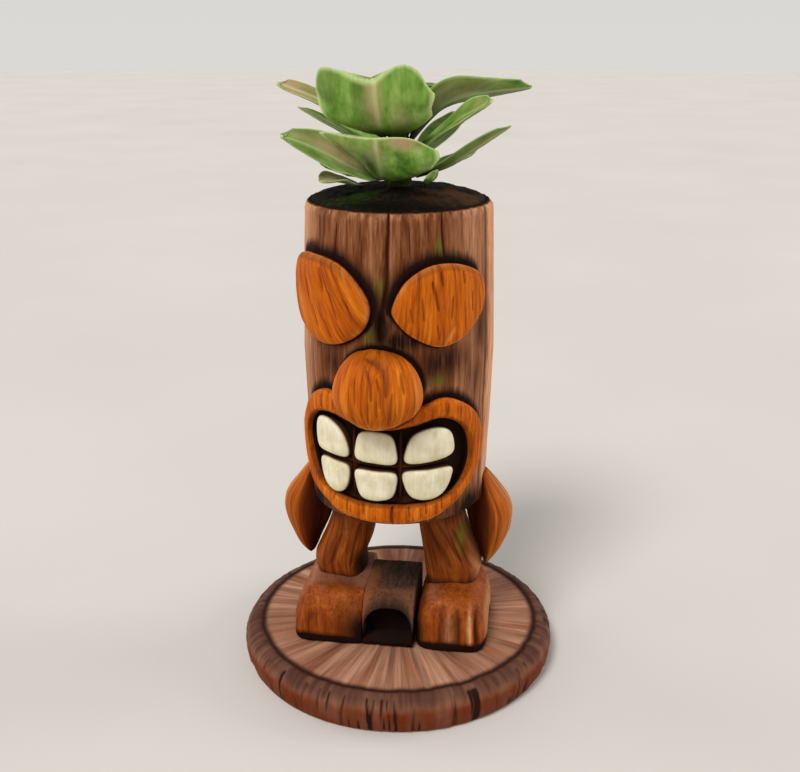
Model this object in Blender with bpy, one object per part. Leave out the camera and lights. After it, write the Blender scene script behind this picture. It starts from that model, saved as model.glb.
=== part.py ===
"""Carved tiki mug: a hollow log on legs and a log-slice base, closed by a leafy crown lid.

Dimensions below are in millimetres. Z is up, the face looks along -Y and +X is the viewer's right.
The underside of the felt pad is at Z = 0 and the axis of the log is the Z axis.
"""

import math

import bmesh
import bpy
from mathutils import Matrix, Vector

MM = 0.001

# Fits
GAP = 0.3                    # clearance between pieces that touch or are let in
ROUND_SEGMENTS = 48          # facets round the log, liner, lid and base
SMALL_SEGMENTS = 12          # facets round dowels and screws

# Base slice
PAD_RADIUS = 60.0
PAD_THICKNESS = 2.0
PAD_PROUD = 0.5              # how far the pad stands below the wood
BASE_TOP = 18.8
BASE_PROFILE = [             # radius, height: underside edge, bark side, worn bevel, top
    (77.4, PAD_PROUD),
    (79.0, 2.6),
    (80.4, 8.8),
    (80.2, 12.4),
    (78.2, 15.8),
    (74.4, 18.0),
    (71.0, BASE_TOP),
]

# Feet: plan limits and crown height above the base
FOOT_FRONT = -36.0
FOOT_BACK = 20.0
FOOT_TOP = 45.5
LEFT_FOOT_X = (-49.5, -13.5)
RIGHT_FOOT_X = (12.0, 48.0)
FOOT_SQUARENESS = 5.5        # exponent of the plan outline
FOOT_LAYERS = [              # part of the height, inset of the outline there
    (0.0, 0.9),
    (0.07, 0.0),
    (0.42, 0.3),
    (0.64, 1.7),
    (0.82, 4.2),
    (0.94, 7.6),
    (1.0, 11.5),
]
FOOT_BACK_STEEPNESS = 0.6    # the back is inset by this part of the front's inset
TOE_GROOVES = (26.0, 34.3, 43.3)
TOE_GROOVE_DEPTH = 1.6
TOE_GROOVE_RADIUS = 1.5
TOE_GROOVE_SEGMENTS = 8
TOE_GROOVE_OVERRUN = 2.0     # how far a groove cutter runs past the foot at each end

# Bridge between the feet: depth, height round its side outline, hollowed in front above the sole
BRIDGE_BOTTOM = BASE_TOP + GAP
BRIDGE_SIDE = [
    (-35.6, BRIDGE_BOTTOM),
    (8.0, BRIDGE_BOTTOM),
    (9.0, BRIDGE_BOTTOM + 1.0),
    (9.0, 41.0),
    (6.0, 44.6),
    (-25.5, 44.6),
    (-31.0, 43.0),
    (-33.0, 39.6),
    (-32.6, 37.6),
    (-27.0, 34.6),
    (-22.0, 30.0),
    (-22.0, 25.2),
    (-26.0, 23.4),
    (-35.0, 22.8),
    (-35.6, 21.8),
]

# Legs: height, inner and outer distance from the centre line, front and back
LEG_STATIONS = [
    (38.0, 15.5, 39.0, -15.0, 15.0),
    (45.0, 15.0, 40.3, -16.0, 16.0),
    (53.0, 14.2, 41.0, -16.5, 16.5),
    (61.0, 13.2, 39.2, -16.5, 16.5),
    (69.0, 12.2, 36.0, -16.5, 16.0),
    (77.0, 11.3, 33.4, -17.0, 16.0),
    (88.5, 10.5, 32.5, -18.0, 16.0),
]
LEG_SQUARENESS = 2.8
LEG_DOWEL_RADIUS = 4.0
LEG_DOWEL_X = 21.5
LEG_DOWEL_Z = (76.0, 97.0)

# Log
TRUNK_BOTTOM = 88.8
TRUNK_PROFILE = [            # radius, height of the outside, bottom to rim
    (39.8, TRUNK_BOTTOM),
    (41.8, 90.2),
    (42.5, 93.2),
    (42.8, 105.0),
    (44.0, 132.0),
    (45.0, 166.0),
    (43.8, 213.0),
    (43.0, 232.6),
    (42.3, 235.4),
    (41.3, 236.2),
]
LID_SEAT = (40.6, 234.0)     # radius and height of the step that carries the lid
LINER_SEAT = (38.4, 232.5)   # radius and height of the step that carries the liner's lip
BORE_RADIUS = 35.5
BORE_FLOOR = 102.0

# Liner
LINER_WALL = 1.5
LINER_RADIUS = BORE_RADIUS - GAP
LINER_LIP_TOP = LID_SEAT[1] - 0.1

# Lid
LID_RADIUS = LID_SEAT[0] - GAP
LID_UNDERSIDE = LID_SEAT[1] + GAP
SPIGOT_RADIUS = 33.2
SPIGOT_BOTTOM = 226.0
LID_DOME = [(40.3, 235.9), (38.6, 237.6), (32.0, 239.7), (21.0, 241.2), (9.0, 241.9)]
STEM_SOCKET = (6.3, 236.0)

# Stem
STEM_PROFILE = [(6.0, 236.3), (6.0, 246.0), (5.4, 256.0), (4.6, 266.0), (3.4, 270.5), (1.5, 271.7)]

# Features let into the log. Outlines are control points: angle round the log from the front in
# degrees, positive to the viewer's right, and height.
INLAY_DEPTH = 1.2            # how far the eyes, nose and mouth ring sink into the log
SOCKET_DEPTH = 1.7
RIGHT_EYE = [(4.8, 196.3), (12.3, 206.8), (26.6, 213.2), (45.0, 212.6), (61.0, 206.0),
             (63.0, 192.8), (48.5, 181.4), (32.0, 176.9), (15.0, 182.5), (5.6, 190.5)]
LEFT_EYE = [(-8.0, 193.8), (-13.4, 203.2), (-27.0, 212.4), (-46.0, 215.0), (-66.5, 212.8),
            (-75.0, 201.2), (-66.0, 186.8), (-47.0, 177.2), (-28.5, 176.6), (-13.0, 183.6)]
BACK_SCALES = (0.0, 0.4, 0.75, 1.0)       # rings across the back of a piece let into the log
EYE_PROUD = 5.2
EYE_LAYERS = [(1.0, 1.0), (0.95, 3.4), (0.82, 4.6), (0.5, EYE_PROUD), (0.0, EYE_PROUD)]
MOUTH_CENTRE = (-1.0, 119.8)
MOUTH_OUTER = [(20.0, 91.8), (43.5, 98.8), (61.5, 111.5), (67.5, 127.8), (57.0, 143.0),
               (37.0, 152.2), (20.0, 149.5), (0.0, 146.0), (-20.0, 150.0), (-39.0, 153.6),
               (-56.0, 145.0), (-69.5, 124.8), (-61.0, 105.3), (-42.0, 97.5), (-22.0, 92.2)]
MOUTH_INNER = [(0.0, 100.8), (29.0, 101.8), (47.7, 108.2), (55.5, 120.8), (49.0, 135.8),
               (33.0, 143.2), (16.0, 140.5), (0.0, 138.5), (-18.0, 140.5), (-35.0, 143.2),
               (-49.6, 139.5), (-60.0, 128.8), (-57.5, 118.8), (-47.3, 107.1), (-27.0, 101.8)]
MOUTH_RING_PROUD = 3.4
MOUTH_RING_LAYERS = [        # part of the way from the inner to the outer edge, distance off the log
    (0.0, -INLAY_DEPTH),
    (0.0, 1.8),
    (0.22, MOUTH_RING_PROUD),
    (0.8, MOUTH_RING_PROUD),
    (1.0, 2.0),
    (1.0, -INLAY_DEPTH),
    (0.5, -INLAY_DEPTH),
]
MOUTH_FLOOR_RADIUS = 41.0
CUTTER_PROUD = 5.0           # how far the cutters for let-in pieces stand off the log
TOOTH_FACE_RADIUS = 46.6
TOOTH_LAYERS = [(1.0, TOOTH_FACE_RADIUS - 2.2), (0.86, TOOTH_FACE_RADIUS - 0.5),
                (0.5, TOOTH_FACE_RADIUS), (0.0, TOOTH_FACE_RADIUS)]
TOOTH_BACK_SCALES = (0.0, 0.6, 0.97)
TEETH = {
    "tooth_upper_left": [(-48.0, 123.2), (-37.0, 122.0), (-24.0, 122.6), (-23.6, 128.8),
                         (-29.0, 135.6), (-38.5, 139.2), (-48.0, 138.0), (-50.6, 131.0)],
    "tooth_upper_middle": [(-17.8, 122.8), (-6.0, 121.4), (6.2, 121.8), (6.8, 129.0),
                           (3.4, 135.4), (-6.0, 137.0), (-15.0, 135.8), (-18.2, 129.8)],
    "tooth_upper_right": [(12.4, 122.2), (27.0, 121.8), (41.6, 124.2), (42.6, 131.2),
                          (38.4, 136.6), (28.5, 138.4), (17.0, 135.8), (12.2, 128.8)],
    "tooth_lower_left": [(-45.0, 118.8), (-34.0, 119.3), (-23.2, 118.2), (-22.8, 111.0),
                         (-26.5, 105.2), (-33.5, 103.4), (-41.0, 106.3), (-45.0, 112.8)],
    "tooth_lower_middle": [(-18.0, 117.2), (-6.0, 117.6), (6.2, 116.8), (6.8, 110.2),
                           (3.6, 104.6), (-6.0, 102.6), (-14.6, 104.2), (-18.2, 110.8)],
    "tooth_lower_right": [(11.4, 117.6), (25.5, 118.0), (40.8, 117.6), (41.0, 112.0),
                          (35.6, 105.4), (26.0, 102.8), (15.8, 104.8), (11.0, 111.4)],
}
NOSE_CENTRE = (-2.6, -48.9, 158.5)
NOSE_RADII = (20.2, 14.5, 18.2)
NOSE_CUTTER_REACH = 1.5      # half height of the cutters behind the nose, in its own radii

# Arms: height, inner and outer distance from the centre line, half depth front to back. The
# inner side of an arm is a thin web behind the hollow of the palm.
ARM_STATIONS = [
    (52.4, 43.9, 45.9, 2.6),
    (55.0, 42.6, 47.9, 5.4),
    (60.0, 40.6, 51.2, 8.2),
    (67.0, 37.5, 54.6, 10.2),
    (74.5, 35.2, 57.2, 11.2),
    (82.0, 33.9, 57.8, 11.4),
    (88.0, 33.5, 56.2, 11.0),
    (94.0, 34.9, 52.0, 9.6),
    (99.5, 37.4, 47.8, 7.4),
    (103.0, 39.4, 44.9, 4.6),
]
ARM_CENTRE_Y = -2.0
ARM_SQUARENESS = 2.3
ARM_PALM_START = 0.35        # part of the width, from the outside, that keeps its full depth
ARM_PALM_DEPTH = 0.62        # part of the full depth hollowed away at the inner edge
ARM_DOWEL_RADIUS = 3.0
ARM_DOWEL_Z = 95.0
ARM_DOWEL_X = (33.0, 47.0)

# Screws, head down, through the base into the feet and bridge
SCREW_POSITIONS = {
    "base_screw_left_front": (-30.0, -21.0),
    "base_screw_left_back": (-30.0, 12.0),
    "base_screw_right_front": (30.0, -21.0),
    "base_screw_right_back": (30.0, 12.0),
    "base_screw_bridge": (0.8, 6.0),
}
SCREW_RADIUS = 2.0
SCREW_HEAD_RADIUS = 4.2
SCREW_HEAD_Z = 2.9
SCREW_HEAD_HEIGHT = 2.6
SCREW_TIP_Z = 33.0

# Leaves. Azimuth is in degrees from the front, positive to the viewer's right. The rib is given as
# distance from the axis and height; left and right are half widths at equal steps along the rib;
# ends says how much of the rib each strip reaches, from the left edge to the right edge. Cup lifts
# the edges and roll turns the blade about its rib, in degrees.
LEAVES = {
    "leaf_front_upper": dict(
        azimuth=-10.0, rib=[(7.0, 266.0), (17.0, 266.5), (26.0, 271.0), (31.0, 281.0), (34.0, 294.0)],
        left=[2.5, 8.0, 24.5, 29.5, 32.5], right=[2.5, 8.0, 22.0, 24.5, 24.5],
        ends=[0.89, 1.0, 0.96, 0.93, 0.92, 0.96, 1.02, 0.96, 0.91], cup=0.14, thickness=3.0, rows=9),
    "leaf_front_lower": dict(
        azimuth=-8.0, rib=[(8.0, 246.0), (17.0, 246.8), (27.0, 251.5), (33.0, 259.5), (36.5, 267.5)],
        left=[2.5, 4.0, 7.0, 14.0, 29.0], right=[2.5, 13.0, 23.0, 25.5, 20.0],
        ends=[0.98, 1.0, 0.99, 0.97, 0.95, 0.98, 0.99, 0.95, 0.84], cup=0.14, thickness=3.0, rows=9),
    "leaf_left_long": dict(
        azimuth=-77.0, rib=[(6.0, 263.0), (20.0, 272.0), (38.0, 281.0), (54.0, 287.0)],
        left=[2.2, 4.5, 7.0, 4.0], right=[2.2, 4.5, 7.0, 4.0], ends=[0.9, 1.0, 1.0, 1.0, 0.9], roll=25.0),
    "leaf_left_small": dict(
        azimuth=-92.0, rib=[(6.3, 256.0), (20.0, 263.0), (34.0, 270.0), (46.5, 276.5)],
        left=[1.8, 2.4, 3.4, 1.6], right=[1.8, 2.4, 3.4, 1.6], ends=[0.9, 1.0, 1.0, 1.0, 0.9], roll=15.0),
    "leaf_left_mid": dict(
        azimuth=-57.0, rib=[(8.2, 246.0), (20.0, 249.5), (38.0, 258.5), (56.0, 266.5)],
        left=[2.4, 8.0, 11.5, 4.5], right=[2.4, 8.0, 11.5, 4.5], ends=[0.9, 1.0, 1.0, 1.0, 0.9], roll=36.0),
    "leaf_left_jagged": dict(
        azimuth=-86.0, rib=[(8.2, 245.5), (18.0, 247.5), (28.0, 251.5), (37.0, 254.0)],
        left=[2.2, 4.5, 7.5, 4.5], right=[2.2, 4.5, 7.5, 4.5], ends=[0.82, 1.0, 0.88, 1.0, 0.8], roll=36.0),
    "leaf_left_low": dict(
        azimuth=-50.0, rib=[(20.0, 242.8), (27.0, 245.0), (34.0, 247.0), (41.0, 246.2)],
        left=[2.0, 6.0, 7.5, 3.0], right=[2.0, 6.0, 7.5, 3.0], ends=[0.88, 1.0, 1.0, 1.0, 0.88], roll=8.0),
    "leaf_right_long": dict(
        azimuth=106.0, rib=[(6.0, 262.0), (20.0, 277.5), (40.0, 283.0), (61.0, 285.0)],
        left=[2.2, 17.0, 10.0, 4.5], right=[2.2, 12.0, 14.0, 5.5], ends=[0.88, 1.0, 1.0, 1.0, 0.88],
        roll=26.0),
    "leaf_right_lower": dict(
        azimuth=60.0, rib=[(6.3, 254.5), (20.0, 263.0), (36.0, 274.0), (50.0, 281.0)],
        left=[2.4, 9.0, 10.0, 4.5], right=[2.4, 9.0, 11.0, 5.0], ends=[0.88, 1.0, 1.0, 1.0, 0.88],
        roll=-28.0),
    "leaf_right_mid": dict(
        azimuth=88.0, rib=[(8.2, 246.0), (20.0, 250.5), (36.0, 260.0), (50.5, 269.5)],
        left=[2.2, 4.5, 6.5, 3.0], right=[2.2, 4.5, 6.5, 3.0], ends=[0.88, 1.0, 1.0, 1.0, 0.88], roll=18.0),
    "leaf_right_small": dict(
        azimuth=62.0, rib=[(15.0, 243.6), (18.5, 246.5), (21.0, 250.5)],
        left=[1.8, 4.0, 2.0], right=[1.8, 4.0, 2.0], ends=[0.88, 1.0, 1.0, 1.0, 0.88], rows=5),
    "leaf_curl": dict(
        azimuth=38.0, rib=[(5.4, 268.5), (12.0, 269.5), (19.0, 273.5), (22.0, 281.5)],
        left=[1.8, 3.0, 4.5, 3.0], right=[1.8, 3.0, 4.5, 3.0], ends=[0.88, 1.0, 1.0, 1.0, 0.88]),
    "leaf_heart_left": dict(
        azimuth=-108.0, rib=[(2.6, 273.2), (5.0, 277.5), (8.5, 282.5), (10.0, 288.0)],
        left=[1.8, 4.0, 5.5, 3.0], right=[1.8, 4.0, 5.5, 3.0], ends=[0.88, 1.0, 1.0, 1.0, 0.88], rows=6),
    "leaf_heart_right": dict(
        azimuth=72.0, rib=[(2.6, 273.2), (4.5, 277.5), (7.5, 282.0), (8.5, 286.5)],
        left=[1.8, 4.0, 5.5, 3.0], right=[1.8, 4.0, 5.5, 3.0], ends=[0.88, 1.0, 1.0, 1.0, 0.88], rows=6),
    "leaf_back_upper": dict(
        azimuth=180.0, rib=[(6.0, 263.0), (18.0, 266.0), (30.0, 275.0), (38.0, 286.0)],
        left=[2.5, 9.0, 19.0, 19.0], right=[2.5, 9.0, 19.0, 19.0],
        ends=[0.86, 0.98, 0.92, 0.98, 0.86], cup=0.16),
    "leaf_back_left": dict(
        azimuth=-128.0, rib=[(6.3, 254.0), (22.0, 261.0), (38.0, 271.0), (52.0, 277.0)],
        left=[2.2, 7.0, 10.0, 4.0], right=[2.2, 7.0, 10.0, 4.0], ends=[0.88, 1.0, 1.0, 1.0, 0.88]),
    "leaf_back_right": dict(
        azimuth=146.0, rib=[(6.3, 253.0), (20.0, 257.0), (36.0, 266.0), (50.0, 272.0)],
        left=[2.2, 7.0, 9.5, 4.0], right=[2.2, 7.0, 9.5, 4.0], ends=[0.88, 1.0, 1.0, 1.0, 0.88]),
    "leaf_back_low": dict(
        azimuth=-164.0, rib=[(8.2, 246.0), (20.0, 248.0), (33.0, 253.0), (43.0, 258.0)],
        left=[2.2, 7.0, 9.5, 4.0], right=[2.2, 7.0, 9.5, 4.0], ends=[0.88, 1.0, 1.0, 1.0, 0.88]),
    "leaf_back_left_low": dict(
        azimuth=-122.0, rib=[(8.2, 246.0), (20.0, 249.5), (34.0, 256.5), (47.0, 262.0)],
        left=[2.2, 5.5, 8.0, 3.5], right=[2.2, 5.5, 8.0, 3.5], ends=[0.88, 1.0, 1.0, 1.0, 0.88]),
    "leaf_back_right_low": dict(
        azimuth=128.0, rib=[(8.2, 245.5), (20.0, 247.5), (32.0, 251.5), (42.0, 255.5)],
        left=[2.2, 5.5, 7.5, 3.5], right=[2.2, 5.5, 7.5, 3.5], ends=[0.88, 1.0, 1.0, 1.0, 0.88]),
}
LEAF_THICKNESS = 2.2
LEAF_EDGE_THINNING = 0.55    # part of the thickness lost between the rib and the edge
LEAF_TIP_THINNING = 0.35     # part of the thickness lost between the root and the tip
LEAF_CUP = 0.22
LEAF_ROWS = 7
LEAF_RIB_POINTS = 24
LEAF_TANGENT_STEP = 0.04     # part of the rib looked along on each side for its direction

# Mesh fineness
SHARP_ANGLE = 32.0
FOOT_RING_POINTS = 24
LEG_RING_POINTS = 16
ARM_RING_POINTS = 16
EYE_POINTS = 24
MOUTH_POINTS = 40
TOOTH_POINTS = 14
OUTLINE_SAMPLES = 40         # per control point, before an outline is cut into even angles
NOSE_ROWS = 10
NOSE_SEGMENTS = 20

# Colours (linear red, green, blue), roughness, metallic
FINISHES = {
    "base_wood": ((0.28, 0.13, 0.08), 0.75, 0.0),
    "trunk_wood": ((0.24, 0.09, 0.05), 0.65, 0.0),
    "carved_orange": ((0.55, 0.17, 0.03), 0.55, 0.0),
    "tooth_cream": ((0.78, 0.74, 0.55), 0.45, 0.0),
    "charred_wood": ((0.03, 0.012, 0.01), 0.8, 0.0),
    "leaf_green": ((0.16, 0.36, 0.06), 0.5, 0.0),
    "stem_green": ((0.05, 0.09, 0.02), 0.7, 0.0),
    "liner_steel": ((0.6, 0.6, 0.58), 0.3, 1.0),
    "screw_steel": ((0.45, 0.45, 0.43), 0.35, 1.0),
    "dowel_wood": ((0.6, 0.42, 0.24), 0.7, 0.0),
    "felt": ((0.02, 0.035, 0.02), 1.0, 0.0),
}


# ---------------------------------------------------------------- helpers

def clear_scene():
    for block in list(bpy.data.objects):
        bpy.data.objects.remove(block, do_unlink=True)


def finish_material(name, key):
    """The Principled material of one piece, in one of the finishes above."""
    colour, roughness, metallic = FINISHES[key]
    made = bpy.data.materials.new(name + "_" + key)
    made.use_nodes = True
    shader = made.node_tree.nodes["Principled BSDF"]
    shader.inputs["Base Color"].default_value = (*colour, 1.0)
    shader.inputs["Roughness"].default_value = roughness
    shader.inputs["Metallic"].default_value = metallic
    made.diffuse_color = (*colour, 1.0)
    return made


def loft(name, rings, finish=None, looped=False, origin=(0.0, 0.0, 0.0)):
    """Closed body through rings of points in millimetres. A ring of one point closes an end to a
    tip, any other end is closed by a flat face; a looped loft joins its last ring to its first."""
    bm = bmesh.new()
    rows = []
    for ring in rings:
        rows.append([bm.verts.new([(p[i] - origin[i]) * MM for i in range(3)]) for p in ring])
    pairs = list(zip(rows, rows[1:]))
    if looped:
        pairs.append((rows[-1], rows[0]))
    for low, high in pairs:
        count = max(len(low), len(high))
        for i in range(count):
            j = (i + 1) % count
            corners = [low[i % len(low)], low[j % len(low)], high[j % len(high)], high[i % len(high)]]
            bm.faces.new(list(dict.fromkeys(corners)))
    if not looped:
        for end in (rows[0], rows[-1]):
            if len(end) > 2:
                bm.faces.new(end)
    bmesh.ops.recalc_face_normals(bm, faces=bm.faces[:])
    return add_object(name, bm, finish, origin)


def add_object(name, bm, finish, origin=(0.0, 0.0, 0.0)):
    """Object from a bmesh; one with no finish is a cutter, shown as wire and left out of renders."""
    mesh = bpy.data.meshes.new(name)
    bm.to_mesh(mesh)
    bm.free()
    made = bpy.data.objects.new(name, mesh)
    made.location = [c * MM for c in origin]
    bpy.context.scene.collection.objects.link(made)
    if finish is None:
        made.hide_render = True
        made.display_type = 'WIRE'
        return made
    mesh.materials.append(finish_material(name, finish))
    mesh.shade_smooth()
    mesh.set_sharp_from_angle(angle=math.radians(SHARP_ANGLE))
    return made


def cut(target, cutter):
    step = target.modifiers.new(cutter.name, 'BOOLEAN')
    step.operation = 'DIFFERENCE'
    step.solver = 'EXACT'
    step.object = cutter


def circle(radius, z, centre=(0.0, 0.0), segments=ROUND_SEGMENTS):
    if radius == 0.0:
        return [(centre[0], centre[1], z)]
    turns = [2.0 * math.pi * i / segments for i in range(segments)]
    return [(centre[0] + radius * math.cos(a), centre[1] + radius * math.sin(a), z) for a in turns]


def lathe(name, profile, finish=None, centre=(0.0, 0.0), segments=ROUND_SEGMENTS):
    """Turned body; the profile of (radius, height) starts and ends on the axis."""
    return loft(name, [circle(r, z, centre, segments) for r, z in profile], finish)


def rounded_section(x_low, x_high, y_low, y_high, squareness, z, count):
    """Superellipse between four limits, as a ring at height z."""
    ring = []
    for i in range(count):
        turn = 2.0 * math.pi * i / count
        c, s = math.cos(turn), math.sin(turn)
        u = math.copysign(abs(c) ** (2.0 / squareness), c)
        v = math.copysign(abs(s) ** (2.0 / squareness), s)
        ring.append((
            (x_low + x_high) / 2.0 + u * (x_high - x_low) / 2.0,
            (y_low + y_high) / 2.0 + v * (y_high - y_low) / 2.0,
            z,
        ))
    return ring


def spline(points, count, closed):
    """Catmull-Rom curve through the points, sampled at even parameter steps."""
    spans = len(points) if closed else len(points) - 1
    sampled = []
    for k in range(count):
        place = k * spans / count if closed else k * spans / (count - 1)
        span = min(int(place), spans - 1)
        f = place - span
        knots = []
        for shift in (-1, 0, 1, 2):
            index = span + shift
            index = index % len(points) if closed else min(max(index, 0), len(points) - 1)
            knots.append(points[index])
        sampled.append(tuple(
            0.5 * (2.0 * b + (c - a) * f + (2.0 * a - 5.0 * b + 4.0 * c - d) * f ** 2
                   + (3.0 * b - a - 3.0 * c + d) * f ** 3)
            for a, b, c, d in zip(*knots)
        ))
    return sampled


def interpolate(values, place):
    """Value at place 0..1 along an evenly spaced list."""
    scaled = min(max(place, 0.0), 1.0) * (len(values) - 1)
    low = min(int(scaled), len(values) - 2)
    return values[low] + (values[low + 1] - values[low]) * (scaled - low)


def trunk_radius(z):
    """Outside radius of the log at a height, between its rounded bottom and its rim."""
    for (r0, z0), (r1, z1) in zip(TRUNK_PROFILE, TRUNK_PROFILE[1:]):
        if z <= z1:
            return r0 + (r1 - r0) * max(z - z0, 0.0) / (z1 - z0)
    return TRUNK_PROFILE[-1][0]


def on_log(angle, z, radius):
    """Point at an angle in degrees from the front, a height and a radius."""
    turn = math.radians(angle)
    return (radius * math.sin(turn), -radius * math.cos(turn), z)


def centre_of(outline):
    return tuple(sum(p[i] for p in outline) / len(outline) for i in range(2))


def grown(outline, margin):
    """Outline on the log moved outwards by a margin in millimetres."""
    per_degree = math.radians(1.0) * TRUNK_PROFILE[5][0]
    result = []
    for i, (angle, z) in enumerate(outline):
        a0, z0 = outline[i - 1]
        a1, z1 = outline[(i + 1) % len(outline)]
        along = Vector(((a1 - a0) * per_degree, z1 - z0)).normalized()
        side = Vector((along.y, -along.x))
        centre = centre_of(outline)
        outward = Vector(((angle - centre[0]) * per_degree, z - centre[1]))
        if side.dot(outward) < 0.0:
            side = -side
        result.append((angle + side.x * margin / per_degree, z + side.y * margin))
    return result


def wrapped_pad(name, outline, layers, finish=None):
    """Pad bent round the log. Each layer is a scale of the outline about its centre and a function
    or number for the radius; the first and last layers have scale 0 and close the two faces."""
    middle = centre_of(outline)
    rings = []
    for scale, radius in layers:
        ring = []
        for angle, z in (outline if scale else [middle]):
            a = middle[0] + (angle - middle[0]) * scale
            h = middle[1] + (z - middle[1]) * scale
            ring.append(on_log(a, h, radius(h) if callable(radius) else radius))
        rings.append(ring)
    return loft(name, rings, finish)


def off_log(distance):
    """Radius function: a distance outwards from the log's own surface."""
    return lambda z: trunk_radius(z) + distance


# ---------------------------------------------------------------- base

def build_base():
    recess_radius = PAD_RADIUS + GAP
    recess_top = PAD_THICKNESS + GAP
    profile = [(0.0, recess_top), (recess_radius, recess_top), (recess_radius, PAD_PROUD)]
    profile += BASE_PROFILE + [(0.0, BASE_TOP)]
    base = lathe("base_disc", profile, "base_wood")
    lathe("felt_pad", [(0.0, 0.0), (PAD_RADIUS, 0.0), (PAD_RADIUS, PAD_THICKNESS), (0.0, PAD_THICKNESS)],
          "felt")
    return base


def screw_profile(margin):
    """Countersunk screw, head down; a margin makes the matching hole."""
    head = SCREW_HEAD_RADIUS + margin
    shank = SCREW_RADIUS + margin
    low = SCREW_HEAD_Z - (SCREW_HEAD_Z if margin else 0.0)
    return [
        (0.0, low),
        (head, low),
        (head, SCREW_HEAD_Z + margin),
        (shank, SCREW_HEAD_Z + SCREW_HEAD_HEIGHT + margin),
        (shank, SCREW_TIP_Z - SCREW_RADIUS + margin),
        (0.0, SCREW_TIP_Z + margin),
    ]


def build_screws(base, footings):
    for name, centre in SCREW_POSITIONS.items():
        lathe(name, screw_profile(0.0), "screw_steel", centre, SMALL_SEGMENTS)
        hole = lathe(name + "_hole", screw_profile(GAP), None, centre, SMALL_SEGMENTS)
        cut(base, hole)
        cut(footings[name], hole)


# ---------------------------------------------------------------- feet and legs

def build_foot(name, limits):
    low, high = limits
    bottom = BASE_TOP + GAP
    height = FOOT_TOP - bottom
    rings = []
    for part, inset in FOOT_LAYERS:
        rings.append(rounded_section(low + inset, high - inset, FOOT_FRONT + inset,
                                     FOOT_BACK - inset * FOOT_BACK_STEEPNESS, FOOT_SQUARENESS,
                                     bottom + part * height, FOOT_RING_POINTS))
    return loft(name, rings, "carved_orange")


def leg_rings(side, margin=0.0):
    rings = []
    for z, inner, outer, front, back in LEG_STATIONS:
        x_low, x_high = sorted((side * inner, side * outer))
        rings.append(rounded_section(x_low - margin, x_high + margin, front - margin, back + margin,
                                     LEG_SQUARENESS, z, LEG_RING_POINTS))
    if margin:
        rings[0] = [(x, y, z - margin) for x, y, z in rings[0]]
    return rings


def build_legs(left_foot, right_foot, trunk):
    for side, label, foot in ((-1.0, "left", left_foot), (1.0, "right", right_foot)):
        leg = loft(label + "_leg", leg_rings(side), "carved_orange")
        cut(foot, loft(label + "_leg_socket", leg_rings(side, GAP)))
        x = side * LEG_DOWEL_X
        low, high = LEG_DOWEL_Z
        lathe(label + "_leg_dowel", [(0.0, low), (LEG_DOWEL_RADIUS, low), (LEG_DOWEL_RADIUS, high),
                                     (0.0, high)], "dowel_wood", (x, 0.0), SMALL_SEGMENTS)
        wide = LEG_DOWEL_RADIUS + GAP
        hole = lathe(label + "_leg_dowel_hole", [(0.0, low - GAP), (wide, low - GAP),
                                                 (wide, high + GAP), (0.0, high + GAP)],
                     None, (x, 0.0), SMALL_SEGMENTS)
        cut(leg, hole)
        cut(trunk, hole)


def build_toe_grooves(foot):
    radius = TOE_GROOVE_RADIUS
    low, high = BASE_TOP - TOE_GROOVE_OVERRUN, FOOT_TOP + TOE_GROOVE_OVERRUN
    for number, x in enumerate(TOE_GROOVES, 1):
        groove = lathe("toe_groove_%d" % number,
                       [(0.0, low), (radius, low), (radius, high), (0.0, high)],
                       None, (x, FOOT_FRONT + radius - TOE_GROOVE_DEPTH), TOE_GROOVE_SEGMENTS)
        cut(foot, groove)


def build_bridge():
    ends = (LEFT_FOOT_X[1] + GAP, RIGHT_FOOT_X[0] - GAP)
    return loft("foot_bridge", [[(x, y, z) for y, z in BRIDGE_SIDE] for x in ends], "charred_wood")


# ---------------------------------------------------------------- log, liner and lid

def build_trunk():
    profile = [(0.0, TRUNK_BOTTOM)] + TRUNK_PROFILE + [
        (LID_SEAT[0], TRUNK_PROFILE[-1][1] - 0.5),
        LID_SEAT,
        (LINER_SEAT[0], LID_SEAT[1]),
        LINER_SEAT,
        (BORE_RADIUS, LINER_SEAT[1]),
        (BORE_RADIUS, BORE_FLOOR),
        (0.0, BORE_FLOOR),
    ]
    return lathe("trunk_cup", profile, "trunk_wood")


def build_liner():
    inner = LINER_RADIUS - LINER_WALL
    bottom = BORE_FLOOR + GAP
    lip = LINER_SEAT[0] - GAP
    lathe("liner_cup", [
        (0.0, bottom),
        (LINER_RADIUS - 1.0, bottom),
        (LINER_RADIUS, bottom + 1.0),
        (LINER_RADIUS, LINER_SEAT[1] + GAP),
        (lip, LINER_SEAT[1] + GAP),
        (lip, LINER_LIP_TOP),
        (inner, LINER_LIP_TOP),
        (inner, bottom + LINER_WALL),
        (0.0, bottom + LINER_WALL),
    ], "liner_steel")


def build_lid():
    lathe("crown_lid", [
        (0.0, SPIGOT_BOTTOM),
        (SPIGOT_RADIUS - 1.0, SPIGOT_BOTTOM),
        (SPIGOT_RADIUS, SPIGOT_BOTTOM + 1.0),
        (SPIGOT_RADIUS, LID_UNDERSIDE),
        (LID_RADIUS, LID_UNDERSIDE),
    ] + LID_DOME + [
        (STEM_SOCKET[0], LID_DOME[-1][1]),
        STEM_SOCKET,
        (0.0, STEM_SOCKET[1]),
    ], "charred_wood")
    ends = [(0.0, STEM_PROFILE[0][1])] + STEM_PROFILE + [(0.0, STEM_PROFILE[-1][1] + 0.3)]
    lathe("plant_stem", ends, "stem_green", segments=SMALL_SEGMENTS)


# ---------------------------------------------------------------- face

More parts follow.
